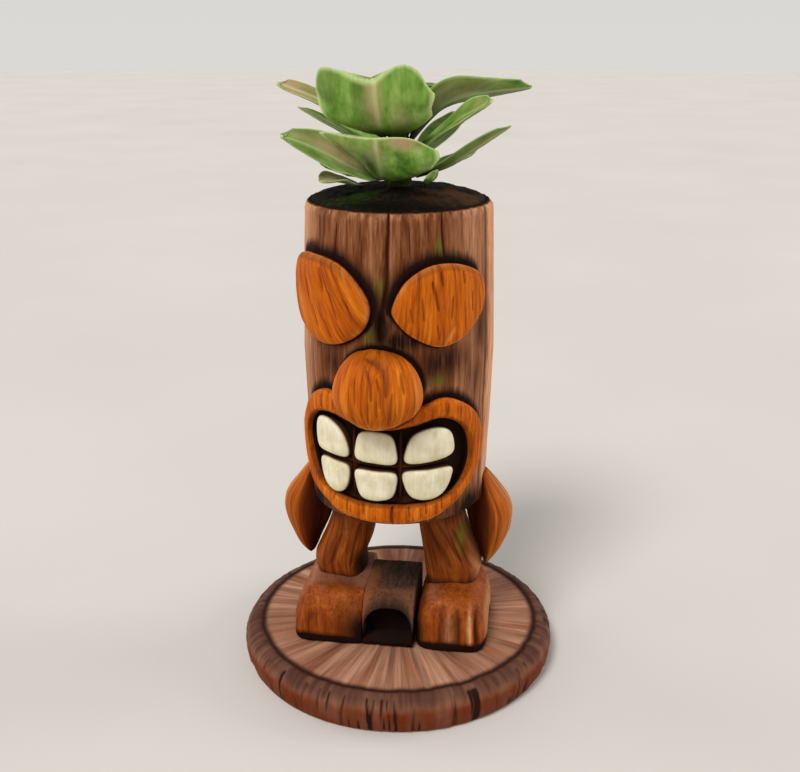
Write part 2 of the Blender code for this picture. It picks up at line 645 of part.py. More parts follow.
def build_eye(name, points, trunk):
    outline = spline(points, EYE_POINTS, closed=True)
    back = off_log(-INLAY_DEPTH)
    layers = [(scale, back) for scale in BACK_SCALES]
    layers += [(scale, off_log(distance)) for scale, distance in EYE_LAYERS]
    wrapped_pad(name, outline, layers, "carved_orange")
    cut(trunk, socket(name + "_socket", grown(outline, GAP), off_log(-SOCKET_DEPTH)))


def socket(name, outline, floor):
    """Cutter for a piece let into the log, down to a floor and open outwards."""
    outside = off_log(CUTTER_PROUD)
    return wrapped_pad(name, outline, [(scale, floor) for scale in BACK_SCALES]
                       + [(scale, outside) for scale in BACK_SCALES[::-1]])


def polar_outline(points, count):
    """Outline as count points at even angles round the mouth's centre."""
    per_degree = math.radians(1.0) * TRUNK_PROFILE[4][0]
    dense = []
    for angle, z in spline(points, OUTLINE_SAMPLES * len(points), closed=True):
        across = (angle - MOUTH_CENTRE[0]) * per_degree
        up = z - MOUTH_CENTRE[1]
        dense.append((math.atan2(up, across) % (2.0 * math.pi), math.hypot(across, up)))
    dense.sort()
    result = []
    for k in range(count):
        turn = 2.0 * math.pi * k / count
        distance = min(dense, key=lambda p: abs(math.remainder(p[0] - turn, 2.0 * math.pi)))[1]
        result.append((MOUTH_CENTRE[0] + distance * math.cos(turn) / per_degree,
                       MOUTH_CENTRE[1] + distance * math.sin(turn)))
    return result


def blend(first, second, part):
    return [tuple(a + (b - a) * part for a, b in zip(p, q)) for p, q in zip(first, second)]


def build_mouth(trunk):
    outer = polar_outline(MOUTH_OUTER, MOUTH_POINTS)
    inner = polar_outline(MOUTH_INNER, MOUTH_POINTS)
    rings = []
    for part, distance in MOUTH_RING_LAYERS:
        rings.append([on_log(a, z, trunk_radius(z) + distance) for a, z in blend(inner, outer, part)])
    ring = loft("mouth_ring", rings, "carved_orange", looped=True)
    cut(trunk, socket("mouth_ring_socket", grown(outer, GAP), off_log(-SOCKET_DEPTH)))
    cut(trunk, socket("mouth_pocket", grown(inner, GAP), MOUTH_FLOOR_RADIUS))
    back = [(scale, MOUTH_FLOOR_RADIUS + GAP) for scale in TOOTH_BACK_SCALES]
    for name, points in TEETH.items():
        outline = spline(points, TOOTH_POINTS, closed=True)
        wrapped_pad(name, outline, back + TOOTH_LAYERS, "tooth_cream")
    return ring


def ellipsoid(name, centre, radii, finish=None):
    rings = []
    for k in range(NOSE_ROWS + 1):
        lift = math.pi * (k / NOSE_ROWS - 0.5)
        if k in (0, NOSE_ROWS):
            rings.append([(centre[0], centre[1], centre[2] + math.copysign(radii[2], lift))])
            continue
        rings.append([(centre[0] + radii[0] * math.cos(lift) * math.cos(a),
                       centre[1] + radii[1] * math.cos(lift) * math.sin(a),
                       centre[2] + radii[2] * math.sin(lift))
                      for a in (2.0 * math.pi * i / NOSE_SEGMENTS for i in range(NOSE_SEGMENTS))])
    return loft(name, rings, finish)


def build_nose(trunk, ring):
    nose = ellipsoid("nose", NOSE_CENTRE, NOSE_RADII, "carved_orange")
    reach = NOSE_CUTTER_REACH * NOSE_RADII[2]
    heights = (NOSE_CENTRE[2] - reach, NOSE_CENTRE[2], NOSE_CENTRE[2] + reach)
    core = [(trunk_radius(z) - INLAY_DEPTH, z) for z in heights]
    cut(nose, lathe("nose_back", [(0.0, heights[0])] + core + [(0.0, heights[2])]))
    wide = [r + GAP for r in NOSE_RADII]
    hollow = ellipsoid("nose_socket", NOSE_CENTRE, wide)
    core = [(trunk_radius(z) - SOCKET_DEPTH, z) for z in heights]
    cut(hollow, lathe("nose_socket_back", [(0.0, heights[0])] + core + [(0.0, heights[2])]))
    cut(trunk, hollow)
    cut(ring, ellipsoid("nose_notch", NOSE_CENTRE, wide))


# ---------------------------------------------------------------- arms

def build_arms(trunk):
    shell = [(r + GAP, z) for r, z in TRUNK_PROFILE[:5]]
    shell[0] = (shell[0][0], TRUNK_BOTTOM - GAP)
    clearance = lathe("arm_trunk_clearance", [(0.0, shell[0][1])] + shell + [(0.0, shell[-1][1])])
    for side, label in ((-1.0, "left"), (1.0, "right")):
        rings = []
        for z, inner, outer, half_depth in ARM_STATIONS:
            x_low, x_high = sorted((side * inner, side * outer))
            ring = rounded_section(x_low, x_high, ARM_CENTRE_Y - half_depth,
                                   ARM_CENTRE_Y + half_depth, ARM_SQUARENESS, z, ARM_RING_POINTS)
            rings.append([hollowed(point, side, inner, outer, half_depth) for point in ring])
        arm = loft(label + "_arm", rings, "carved_orange")
        cut(arm, clearance)
        peg(label + "_arm_dowel", side, 0.0, "dowel_wood")
        hole = peg(label + "_arm_dowel_hole", side, GAP)
        cut(arm, hole)
        cut(trunk, hole)


def hollowed(point, side, inner, outer, half_depth):
    """Moves a point of an arm's section backwards where the palm is hollow."""
    x, y, z = point
    inwards = (outer - side * x) / (outer - inner)
    depth = max(inwards - ARM_PALM_START, 0.0) / (1.0 - ARM_PALM_START) * ARM_PALM_DEPTH
    back = ARM_CENTRE_Y + half_depth
    return (x, y + (back - y) * depth, z)


def peg(name, side, margin, finish=None):
    """Round peg along X from the trunk's floor into an arm."""
    radius = ARM_DOWEL_RADIUS + margin
    start, stop = ARM_DOWEL_X[0] - margin, ARM_DOWEL_X[1] + margin
    rings = []
    for x in (start, stop):
        rings.append([(side * x, ARM_CENTRE_Y + radius * math.cos(a), ARM_DOWEL_Z + radius * math.sin(a))
                      for a in (2.0 * math.pi * i / SMALL_SEGMENTS for i in range(SMALL_SEGMENTS))])
    return loft(name, rings, finish)


# ---------------------------------------------------------------- leaves

def leaf_frame(rib, azimuth, roll, place):
    """Point on the rib with its sideways and upper directions."""
    turn = math.radians(azimuth)

    def point(t):
        r, z = (interpolate([p[i] for p in rib], t) for i in range(2))
        return Vector((r * math.sin(turn), -r * math.cos(turn), z))

    ahead, behind = min(place + LEAF_TANGENT_STEP, 1.0), max(place - LEAF_TANGENT_STEP, 0.0)
    tangent = (point(ahead) - point(behind)).normalized()
    side = Vector((math.cos(turn), math.sin(turn), 0.0))
    side = (side - tangent * side.dot(tangent)).normalized()
    spin = Matrix.Rotation(math.radians(-roll), 3, tangent)
    side = spin @ side
    return point(place), side, tangent.cross(side).normalized()


def build_leaf(name, azimuth, rib, left, right, ends, cup=LEAF_CUP, roll=0.0,
               thickness=LEAF_THICKNESS, rows=LEAF_ROWS):
    smooth_rib = spline(rib, LEAF_RIB_POINTS, closed=False)
    columns = len(ends) - 1
    rings = []
    for row in range(rows):
        t = row / (rows - 1)
        upper = []
        lower = []
        for column in range(columns + 1):
            v = 2.0 * column / columns - 1.0
            place = t * interpolate(ends, column / columns)
            middle, side, up = leaf_frame(smooth_rib, azimuth, roll, place)
            half_width = interpolate(left if v < 0.0 else right, place)
            spot = middle + side * v * half_width + up * cup * v * v * half_width
            half_thick = thickness / 2.0 * (1.0 - LEAF_EDGE_THINNING * v * v)
            half_thick *= 1.0 - LEAF_TIP_THINNING * t
            upper.append(spot + up * half_thick)
            lower.append(spot - up * half_thick)
        rings.append((upper, lower))
    return leaf_body(name, rings)


def leaf_body(name, rings):
    """Closed leaf from rows of upper and lower points."""
    bm = bmesh.new()
    loops = []
    for upper, lower in rings:
        points = upper + lower[::-1]
        loops.append([bm.verts.new([c * MM for c in p]) for p in points])
    count = len(loops[0])
    for low, high in zip(loops, loops[1:]):
        for i in range(count):
            j = (i + 1) % count
            bm.faces.new((low[i], low[j], high[j], high[i]))
    for loop in (loops[0], loops[-1]):
        for i in range(count // 2 - 1):
            bm.faces.new((loop[i], loop[i + 1], loop[count - 2 - i], loop[count - 1 - i]))
    bmesh.ops.recalc_face_normals(bm, faces=bm.faces[:])
    return add_object(name, bm, "leaf_green")


# ---------------------------------------------------------------- assembly

def main():
    clear_scene()
    base = build_base()
    left_foot = build_foot("left_foot", LEFT_FOOT_X)
    right_foot = build_foot("right_foot", RIGHT_FOOT_X)
    bridge = build_bridge()
    trunk = build_trunk()
    build_legs(left_foot, right_foot, trunk)
    build_toe_grooves(right_foot)
    build_screws(base, {
        "base_screw_left_front": left_foot,
        "base_screw_left_back": left_foot,
        "base_screw_right_front": right_foot,
        "base_screw_right_back": right_foot,
        "base_screw_bridge": bridge,
    })
    build_liner()
    build_lid()
    build_eye("right_eye", RIGHT_EYE, trunk)
    build_eye("left_eye", LEFT_EYE, trunk)
    ring = build_mouth(trunk)
    build_nose(trunk, ring)
    build_arms(trunk)
    for name, shape in LEAVES.items():
        build_leaf(name, **shape)
    bpy.context.view_layer.update()


main()
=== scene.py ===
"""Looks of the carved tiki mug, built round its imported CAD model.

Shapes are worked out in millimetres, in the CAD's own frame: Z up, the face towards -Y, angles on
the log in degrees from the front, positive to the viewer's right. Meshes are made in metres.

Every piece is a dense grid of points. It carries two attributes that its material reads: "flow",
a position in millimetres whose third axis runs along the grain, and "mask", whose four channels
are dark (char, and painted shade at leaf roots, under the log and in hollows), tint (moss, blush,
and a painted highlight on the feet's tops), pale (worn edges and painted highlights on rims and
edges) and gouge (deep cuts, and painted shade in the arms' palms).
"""

import math
from functools import reduce
from itertools import product

import bpy
import numpy as np
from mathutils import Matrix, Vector


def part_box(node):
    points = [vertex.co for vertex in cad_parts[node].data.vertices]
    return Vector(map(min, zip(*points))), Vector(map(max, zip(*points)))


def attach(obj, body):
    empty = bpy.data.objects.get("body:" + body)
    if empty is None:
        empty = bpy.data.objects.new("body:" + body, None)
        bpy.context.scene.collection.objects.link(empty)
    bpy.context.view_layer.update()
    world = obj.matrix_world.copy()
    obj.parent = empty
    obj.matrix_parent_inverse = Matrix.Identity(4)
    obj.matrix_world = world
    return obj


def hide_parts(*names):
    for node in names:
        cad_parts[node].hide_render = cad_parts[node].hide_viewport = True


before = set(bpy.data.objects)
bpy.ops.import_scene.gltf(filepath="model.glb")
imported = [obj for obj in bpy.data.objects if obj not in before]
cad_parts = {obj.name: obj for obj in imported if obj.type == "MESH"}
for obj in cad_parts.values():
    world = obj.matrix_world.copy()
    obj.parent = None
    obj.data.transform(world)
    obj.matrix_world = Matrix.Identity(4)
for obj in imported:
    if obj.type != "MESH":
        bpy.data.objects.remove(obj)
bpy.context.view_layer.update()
MM = 0.001
# Points round the two largest pieces, whose meshes stay under 200,000 faces
LOG_COLUMNS, BASE_COLUMNS = 416, 720


def box_mm(node):
    low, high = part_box(node)
    return np.array(low) / MM, np.array(high) / MM


WOOD_BOTTOM, BASE_TOP = box_mm("base_disc")[0][2], box_mm("base_disc")[1][2]
BASE_RADIUS = box_mm("base_disc")[1][0]
PAD_RADIUS, _, PAD_TOP = box_mm("felt_pad")[1]
TRUNK_BOTTOM, TRUNK_TOP = box_mm("trunk_cup")[0][2], box_mm("trunk_cup")[1][2]

# Radii and heights that repeat the CAD model's: the log's bore with its two steps below the rim
# (radius, depth), the liner, the lid with its spigot and stem hole, and the flat of the base
BORE_RADIUS, BORE_FLOOR = 35.5, 102
LID_STEP, LINER_STEP = (40.6, 2.2), (38.4, 3.7)
LINER_RADIUS, LINER_WALL, LINER_LIP_RADIUS, LINER_LIP_BOTTOM = 35.2, 1.5, 38.1, 232.8
LID_RADIUS, SPIGOT_RADIUS, STEM_HOLE_RADIUS, STEM_HOLE_BOTTOM = 40.3, 33.2, 6.3, 236
BASE_FLAT_RADIUS, BASE_FOOT_RADIUS = 71, 77.4
# Room left between one solid and the next
GAP = 0.3

# Outside of the log as radius and height above its underside
TRUNK_PROFILE = np.array([(39.8, 0), (41.8, 1.4), (42.5, 4.4), (42.8, 16.2), (44, 43.2), (45, 77.2),
                          (43.8, 124.2), (43, 143.8), (42.3, 146.6), (41.3, 147.4)]) + (0, TRUNK_BOTTOM)
# Millimetres round the log's surface for one degree
PER_DEGREE = math.radians(44.5)

# Outlines on the log as angle and height
RIGHT_EYE = [
    (4.8, 196.3), (12.3, 206.8), (26.6, 213.2), (45, 212.6), (61, 206), (63, 192.8), (48.5, 181.4),
    (32, 176.9), (15, 182.5), (5.6, 190.5),
]
LEFT_EYE = [
    (-8, 193.8), (-13.4, 203.2), (-27, 212.4), (-46, 215), (-66.5, 212.8), (-75, 201.2), (-66, 186.8),
    (-47, 177.2), (-28.5, 176.6), (-13, 183.6),
]
EYE_PROUD = 5.2
INLAY_DEPTH = 1.2
MOUTH_CENTRE = (-1, 119.8)
MOUTH_OUTER = [
    (20, 91.8), (43.5, 98.8), (61.5, 111.5), (67.5, 127.8), (57, 143), (37, 152.2), (20, 149.5), (0, 146),
    (-20, 150), (-39, 153.6), (-56, 145), (-69.5, 124.8), (-61, 105.3), (-42, 97.5), (-22, 92.2),
]
MOUTH_INNER = [
    (0, 100.8), (29, 101.8), (47.7, 108.2), (55.5, 120.8), (49, 135.8), (33, 143.2), (16, 140.5),
    (0, 138.5), (-18, 140.5), (-35, 143.2), (-49.6, 139.5), (-60, 128.8), (-57.5, 118.8), (-47.3, 107.1),
    (-27, 101.8),
]
MOUTH_RING_PROUD = 3.4
POCKET_RADIUS = 41
TOOTH_FACE = 46.6
TEETH = {
    "upper_left": [(-48, 123.2), (-37, 122), (-24, 122.6), (-23.6, 128.8), (-29, 135.6), (-38.5, 139.2),
        (-48, 138), (-50.6, 131)],
    "upper_middle": [(-17.8, 122.8), (-6, 121.4), (6.2, 121.8), (6.8, 129), (3.4, 135.4), (-6, 137),
        (-15, 135.8), (-18.2, 129.8)],
    "upper_right": [(12.4, 122.2), (27, 121.8), (41.6, 124.2), (42.6, 131.2), (38.4, 136.6), (28.5, 138.4),
        (17, 135.8), (12.2, 128.8)],
    "lower_left": [(-45, 118.8), (-34, 119.3), (-23.2, 118.2), (-22.8, 111), (-26.5, 105.2), (-33.5, 103.4),
        (-41, 106.3), (-45, 112.8)],
    "lower_middle": [(-18, 117.2), (-6, 117.6), (6.2, 116.8), (6.8, 110.2), (3.6, 104.6), (-6, 102.6),
        (-14.6, 104.2), (-18.2, 110.8)],
    "lower_right": [(11.4, 117.6), (25.5, 118), (40.8, 117.6), (41, 112), (35.6, 105.4), (26, 102.8),
        (15.8, 104.8), (11, 111.4)],
}
NOSE_CENTRE = np.array((-2.6, -48.9, 158.5))
NOSE_RADII = np.array((20.2, 14.5, 18.2))
# Half sizes of the nose's outline on the log, in degrees and mm
NOSE_RING = (24.6, 17.2)

# Height, inner and outer distance from the centre line, then front and back, or half the depth
LEG_STATIONS = [
    (38, 15.5, 39, -15, 15), (45, 15, 40.3, -16, 16), (53, 14.2, 41, -16.5, 16.5),
    (61, 13.2, 39.2, -16.5, 16.5), (69, 12.2, 36, -16.5, 16), (77, 11.3, 33.4, -17, 16),
    (88.5, 10.5, 32.5, -18, 16),
]
ARM_STATIONS = [
    (52.4, 43.9, 45.9, 2.6), (55, 42.6, 47.9, 5.4), (60, 40.6, 51.2, 8.2), (67, 37.5, 54.6, 10.2),
    (74.5, 35.2, 57.2, 11.2), (82, 33.9, 57.8, 11.4), (88, 33.5, 56.2, 11), (94, 34.9, 52, 9.6),
    (99.5, 37.4, 47.8, 7.4), (103, 39.4, 44.9, 4.6),
]
ARM_CENTRE_Y = -2
SIDES = ((-1, "left"), (1, "right"))
# Share of the foot's height and the inset of its outline there
FOOT_LAYERS = [(0, 0.9), (0.07, 0), (0.42, 0.3), (0.64, 1.7), (0.82, 4.2), (0.94, 7.6), (1, 11.5)]
# The grooves' distances from the centre line, and the bridge seen from the side, as y and z
TOE_GROOVES = (26, 34.3, 43.3)
BRIDGE_SIDE = [
    (8, 19.1), (9, 20.1), (9, 41), (6, 44.9), (-24.5, 44.9), (-28.4, 43.8), (-31.8, 40.8), (-34.3, 36),
    (-35.2, 30), (-35.4, 24), (-35.8, 22.4), (-35.8, 20.4), (-34.8, 19.1),
]

# Leaves: azimuth, roll, rib as (distance from the axis, height), half widths at even steps along it
# (left, then right where it differs), reach from the left edge to the right edge, cup
BLUNT = (0.88, 1, 1, 1, 0.88)
LEAVES = {
    "front_upper": (-10, 0, [(7, 266), (17, 266.5), (26, 271), (31, 281), (34.3, 296)],
        [2.5, 9, 24.5, 29.5, 32.5], [2.5, 12, 22, 24.5, 24.5],
        (0.79, 0.955, 0.95, 0.895, 0.88, 0.94, 1, 0.94, 0.8), 0.14),
    "front_lower": (-8, 0, [(8, 246), (17, 246.8), (27, 251.5), (33, 259.5), (36.5, 267.5)],
        [2.5, 4, 7, 14, 29], [2.5, 13, 23, 25.5, 20], (0.94, 1, 0.99, 0.97, 0.95, 0.98, 0.99, 0.93, 0.74),
        0.14),
    "left_long": (-77, 25, [(6, 263), (20, 272), (38, 281), (54, 287)], [2.2, 4.5, 7, 4]),
    "left_small": (-92, 15, [(6.3, 256), (20, 263), (34, 270), (46.5, 276.5)], [1.8, 2.4, 3.4, 1.6]),
    "left_mid": (-57, 36, [(8.2, 246), (20, 249.5), (38, 258.5), (56, 266.5)], [2.4, 8, 11.5, 4.5]),
    "left_jagged": (-86, 36, [(8.2, 245.5), (18, 247.5), (28, 251.5), (37, 254)], [2.2, 4.5, 7.5, 4.5],
        None, (0.82, 1, 0.88, 1, 0.8)),
    "left_low": (-50, 8, [(20, 242.8), (27, 245), (34, 247), (41, 246.2)], [2, 6, 7.5, 3]),
    "right_long": (106, 26, [(6, 262), (20, 277.5), (40, 283), (61, 285)], [2.2, 17, 10, 4.5],
        [2.2, 12, 14, 5.5]),
    "right_lower": (60, -28, [(6.3, 254.5), (20, 263), (36, 274), (50, 281)], [2.4, 9, 10, 4.5],
        [2.4, 9, 11, 5]),
    "right_mid": (88, 18, [(8.2, 246), (20, 250.5), (36, 260), (50.5, 269.5)], [2.2, 4.5, 6.5, 3]),
    "right_small": (62, 0, [(15, 243.6), (18.5, 246.5), (21, 250.5)], [1.8, 4, 2]),
    "curl": (38, 0, [(5.4, 268.5), (12, 269.5), (19, 273.5), (22, 281.5)], [1.8, 3, 4.5, 3]),
    "heart_left": (-108, 0, [(2.6, 273.2), (5, 277.5), (8.5, 282.5), (10, 288)], [1.8, 4, 5.5, 3]),
    "heart_right": (72, 0, [(2.6, 273.2), (4.5, 277.5), (7.5, 282), (8.5, 286.5)], [1.8, 4, 5.5, 3]),
    "back_upper": (180, 0, [(6, 263), (18, 266), (30, 275), (38, 286)], [2.5, 9, 19, 19], None,
        (0.86, 0.98, 0.92, 0.98, 0.86), 0.16),
    "back_left": (-128, 0, [(6.3, 254), (22, 261), (38, 271), (52, 277)], [2.2, 7, 10, 4]),
    "back_right": (146, 0, [(6.3, 253), (20, 257), (36, 266), (50, 272)], [2.2, 7, 9.5, 4]),
    "back_low": (-164, 0, [(8.2, 246), (20, 248), (33, 253), (43, 258)], [2.2, 7, 9.5, 4]),
    "back_left_low": (-122, 0, [(8.2, 246), (20, 249.5), (34, 256.5), (47, 262)], [2.2, 5.5, 8, 3.5]),
    "back_right_low": (128, 0, [(8.2, 245.5), (20, 247.5), (32, 251.5), (42, 255.5)], [2.2, 5.5, 7.5, 3.5]),
}
# Spots on leaves: place across (-1..1), place along (0..1), spread of each, strength
BLUSH = {
    "front_upper": [(-0.02, 0.72, 0.13, 0.3, 0.75), (0.45, 0.62, 0.18, 0.14, 0.35),
        (-0.3, 0.42, 0.2, 0.1, 0.3)],
    "front_lower": [(0.55, 0.92, 0.28, 0.1, 0.9), (0, 0.85, 0.1, 0.25, 0.75), (-0.7, 0.9, 0.3, 0.2, 0.3)],
    "left_long": [(0, 1, 1.5, 0.4, 1)],
    "left_mid": [(-0.4, 0.55, 0.5, 0.3, 0.7)],
    "left_low": [(0, 0.75, 0.8, 0.5, 0.9)],
    "right_long": [(-0.5, 0.35, 0.5, 0.3, 0.45), (0.1, 0.9, 0.3, 0.2, 0.5)],
    "right_mid": [(0, 0.85, 0.5, 0.4, 0.7)],
    "back_upper": [(0.1, 0.8, 0.3, 0.3, 0.6)],
    "back_left": [(0, 0.9, 0.8, 0.3, 0.5)],
}
USUAL_BLUSH = [(0.1, 0.9, 0.7, 0.2, 0.35)]
LEAF_SHADE = {
    "front_upper": [(0, 0.3, 1.2, 0.13, 0.55), (0.55, 0.4, 0.3, 0.12, 0.3)],
    "front_lower": [(-0.35, 0.62, 0.28, 0.2, 0.75), (0.1, 0.35, 1.5, 0.1, 0.4)],
    "right_long": [(0.6, 0.3, 0.4, 0.3, 0.5), (-0.3, 0.2, 0.6, 0.2, 0.4)],
    "right_lower": [(-0.7, 0.45, 0.35, 0.2, 0.5)],
}
DARK_LEAVES = ("right_long", "left_mid", "left_long", "left_jagged", "right_mid")

# Cuts are given as width, depth, then the two coordinates of each point. On the log and what is
# let into it the coordinates are angle and height, on the legs x and z.
CRACKS = [
    (1, 1.7, 2.5, 237, 2.2, 228, 1.5, 220, 0.9, 204, -1.2, 194, -2.8, 184, -2.3, 179),
    (0.7, 0.9, 34.3, 237, 34, 228, 35, 215), (0.5, 0.6, -30.3, 230, -31.4, 224, -31.8, 212),
    (0.4, 0.4, -45.6, 232, -46.4, 216), (0.4, 0.3, 14, 232, 14.4, 216), (0.3, 0.25, 25, 234, 25.4, 222),
    (0.3, 0.25, -14, 233, -13.4, 212), (0.8, 1.2, 72.8, 237.5, 73.2, 200, 72.2, 160, 73.6, 120, 72.8, 88),
    (0.8, 1.4, 150, 237, 148.5, 215, 149.5, 190), (0.7, 1.2, -121, 170, -122.5, 140, -121.5, 108),
    (0.9, 1.6, 178, 237, 177, 214, 178.5, 178, 177.5, 150), (0.6, 1, -150, 237, -149, 205),
    (0.6, 1, 122, 148, 121, 120, 122.5, 96), (0.5, 0.8, -98, 237, -97.5, 200),
]
MOUTH_CUTS = [
    (0.7, 1.3, 4.6, 100.5, 4, 96, 4.4, 91), (0.4, 0.5, 24, 102.5, 24.3, 96),
    (0.4, 0.5, -13, 101, -13.2, 95.5), (0.35, 0.45, 14, 101, 14.2, 95), (0.4, 0.5, -24, 102, -23.6, 96),
    (0.35, 0.4, 34, 104, 33.6, 98), (0.4, 0.5, -33, 103.5, -33.4, 99), (0.35, 0.4, 36, 150.5, 35.6, 144.5),
    (0.35, 0.4, 27, 150, 26.5, 143.5), (0.4, 0.4, 45, 148, 44.5, 142), (0.4, 0.4, -40, 151, -39.5, 145),
]
RIGHT_EYE_CUTS = [
    (0.75, 0.9, 25.5, 207, 27.5, 200.5, 29, 194), (0.6, 0.7, 30.3, 211, 31.4, 204.5),
    (0.55, 0.7, 43.4, 210.4, 44.4, 204.5), (0.4, 0.45, 20, 200, 21, 190), (0.4, 0.4, 37, 200, 36, 190),
    (0.4, 0.45, 50, 201, 49.5, 192), (0.4, 0.4, 14, 196, 15.5, 189), (0.4, 0.4, 28, 188, 29, 181),
]
RIGHT_EYE_CHIPS = [(0.8, 0.5, 38.5, 186.5, 34.5, 180.5, 33.5, 177.5)]
LEFT_EYE_CUTS = [
    (0.8, 0.9, -38.5, 210.5, -36.5, 205, -35, 200), (0.5, 0.6, -30.5, 200.5, -25.6, 188.5),
    (0.5, 0.6, -49.7, 204, -46, 195.6), (0.5, 0.5, -33.5, 188, -29, 179.5),
    (0.4, 0.4, -20, 198, -16.5, 189), (0.45, 0.5, -43, 194, -38, 184), (0.45, 0.5, -58, 206, -54, 197),
    (0.4, 0.4, -25, 186, -21, 180.5),
]
NOSE_CUTS = [
    (1.5, 1, -6.2, 174.8, -1.4, 173.6, 1.8, 170.6, 3.4, 166, 3.6, 160),
    (0.8, 0.5, -5.6, 171, -3.6, 166, -3, 158), (0.7, 0.4, -1, 168, 1, 162, 1, 155),
    (0.5, 0.25, -10.6, 168, -10.4, 156), (0.5, 0.3, 6, 162, 4.8, 148), (0.5, 0.2, -4.6, 157, -5, 146),
    (0.6, 0.3, 9, 170, 10.8, 161),
]
RIGHT_LEG_CUTS = [
    (1.2, 1, 16, 78, 20, 70, 26, 60, 29, 54), (1, 0.8, 21, 80, 27, 70, 34, 58),
    (0.8, 0.7, 15.5, 68, 18, 58, 19.5, 50), (0.8, 0.7, 29, 76, 34.5, 64, 38, 54),
]
LEFT_LEG_CUTS = [(1.1, 0.7, -17, 76, -20, 64, -22, 52), (0.9, 0.5, -26, 70, -30, 60, -33, 52)]
POCKET_RIDGES = [
    (1.5, 0, -20.6, 104, -21, 137), (1.5, 0, 9.2, 104, 9.5, 137),
    (1.3, 0, -48, 121, -20, 120.2, 9, 119.5, 41, 120.4),
]

# Soft spots on the log: angle, height, spread in degrees, spread in mm, strength
DARK_SPOTS = [
    (-2, 186, 7, 13, 0.78), (33, 169, 17, 8, 0.7), (10, 180, 13, 5.5, 0.85), (-34, 168, 10, 7, 0.5),
    (58, 160, 9, 12, 0.3), (66, 186, 8, 16, 0.4), (60, 93, 20, 7, 0.9), (-60, 92, 18, 9, 0.85),
]
MOSS_SPOTS = [
    (31.9, 220, 2.2, 5.5, 1), (-2.6, 204, 3.5, 5, 0.6), (-8.5, 182.5, 3.6, 4.5, 0.9), (31, 161, 6, 2.6, 1),
    (41, 217, 3, 2.5, 0.7), (59, 96, 5, 4, 0.8), (9, 178, 6, 3, 0.4), (-44, 99, 4, 3, 0.6),
]
# Dark seams down the base's side: angle from the front and spread in degrees
BARK_SEAMS = [
    (-12, 1.3), (12.5, 1.5), (28, 1.3), (3, 0.9), (44, 1.2), (-30, 1.4), (-60, 1.2), (72, 1.5), (96, 1.9),
    (128, 2), (-101, 1.7), (-140, 2.1), (171, 1.9),
]


def added(name, data):
    """A new object in the scene."""
    made = bpy.data.objects.new(name, data)
    bpy.context.scene.collection.objects.link(made)
    return made


# ---- numbers

def unit(x):
    return np.clip(x, 0, 1)


def most(*weights):
    """The largest of several weights, point by point."""
    return reduce(np.maximum, weights)


def xyz(x, y, z):
    return np.stack(np.broadcast_arrays(x, y, z), -1)


def rise(low, high, x):
    """Smooth step from 0 at low to 1 at high, which may lie below low."""
    t = unit((x - low) / (high - low))
    return t * t * (3 - 2 * t)


def bell(x, middle, spread):
    """1 at the middle, falling off smoothly within the spread on either side."""
    return np.exp(-((x - middle) / spread) ** 2)


def lattice_noise(p, seed):
    """Smooth noise in -1..1 at points (..., 3)."""
    cell = np.floor(p).astype(np.int64)
    part = p - cell
    part = part * part * (3 - 2 * part)
    total = np.zeros(p.shape[:-1])
    for corner in product((0, 1), repeat=3):
        c = cell + np.array(corner)
        h = c[..., 0] * 73856093 ^ c[..., 1] * 19349663 ^ c[..., 2] * 83492791 ^ seed * 668265263
        h = (h ^ (h >> 13)) * 1274126177 & 0xFFFFFFFF
        h = (h ^ (h >> 16)) & 0xFFFF
        total += np.prod(np.where(corner, part, 1 - part), axis=-1) * (h / 32767.5 - 1)
    return total


def grain(flow, width, length, seed, octaves=2):
    """Noise drawn out along the third axis of flow, about -1..1."""
    p = flow / np.array((width, width, length))
    total = 0
    for k in range(octaves):
        total = total + lattice_noise(p * 2 ** k + 11.7 * k, seed + k) * 0.5 ** k
    return total / 1.5


def grains(flow, medium, broad, seed):
    """Medium and broad grain, each given as width and length."""
    return grain(flow, *medium, seed, 3), grain(flow, *broad, seed + 6)


def spline(points, count, closed):
    """Catmull-Rom curve through the points, sampled at even parameter steps."""
    points = np.asarray(points, float)
    spans = len(points) if closed else len(points) - 1
    place = np.arange(count) * spans / (count if closed else count - 1)
    span = np.minimum(place.astype(int), spans - 1)
    f = (place - span)[:, None]
    knots = []
    for shift in (-1, 0, 1, 2):
        index = (span + shift) % len(points) if closed else np.clip(span + shift, 0, len(points) - 1)
        knots.append(points[index])
    a, b, c, d = knots
    return 0.5 * (2 * b + (c - a) * f + (2 * a - 5 * b + 4 * c - d) * f ** 2
                  + (3 * b - a - 3 * c + d) * f ** 3)


def along(values, place):
    """Values at places 0..1 along a smooth curve through an evenly spaced list."""
    dense = spline(np.reshape(values, (len(values), -1)), 400, closed=False)
    at = np.linspace(0, 1, 400)
    return np.stack([np.interp(place, at, column) for column in dense.T], -1)


def refined(points, step, ease=0.18):
    """Polyline with its corners chamfered by ease and its spans cut into steps."""
    points = np.asarray(points, float)
    eased = [points[0]]
    for a, b, c in zip(points, points[1:], points[2:]):
        for other in (a, c):
            span = np.linalg.norm(other - b)
            eased.append(b + (other - b) * min(ease / span, 0.4))
    eased.append(points[-1])
    result = []
    for a, b in zip(eased, eased[1:]):
        count = max(1, math.ceil(np.linalg.norm(b - a) / step))
        result += [a + (b - a) * k / count for k in range(count)]
    return np.array(result + [eased[-1]])


def direction(vectors):
    return vectors / np.linalg.norm(vectors, axis=-1, keepdims=True)


def turns(count):
    """Even turns round a full circle, in radians."""
    return np.arange(count) * 2 * math.pi / count


def trunk_radius(z):
    return np.interp(z, TRUNK_PROFILE[:, 1], TRUNK_PROFILE[:, 0])


def on_log(angle, z, radius):
    """Points (..., 3) from an angle in degrees, a height and a distance from the log's axis."""
    turn = np.radians(angle)
    return xyz(radius * np.sin(turn), -radius * np.cos(turn), z)


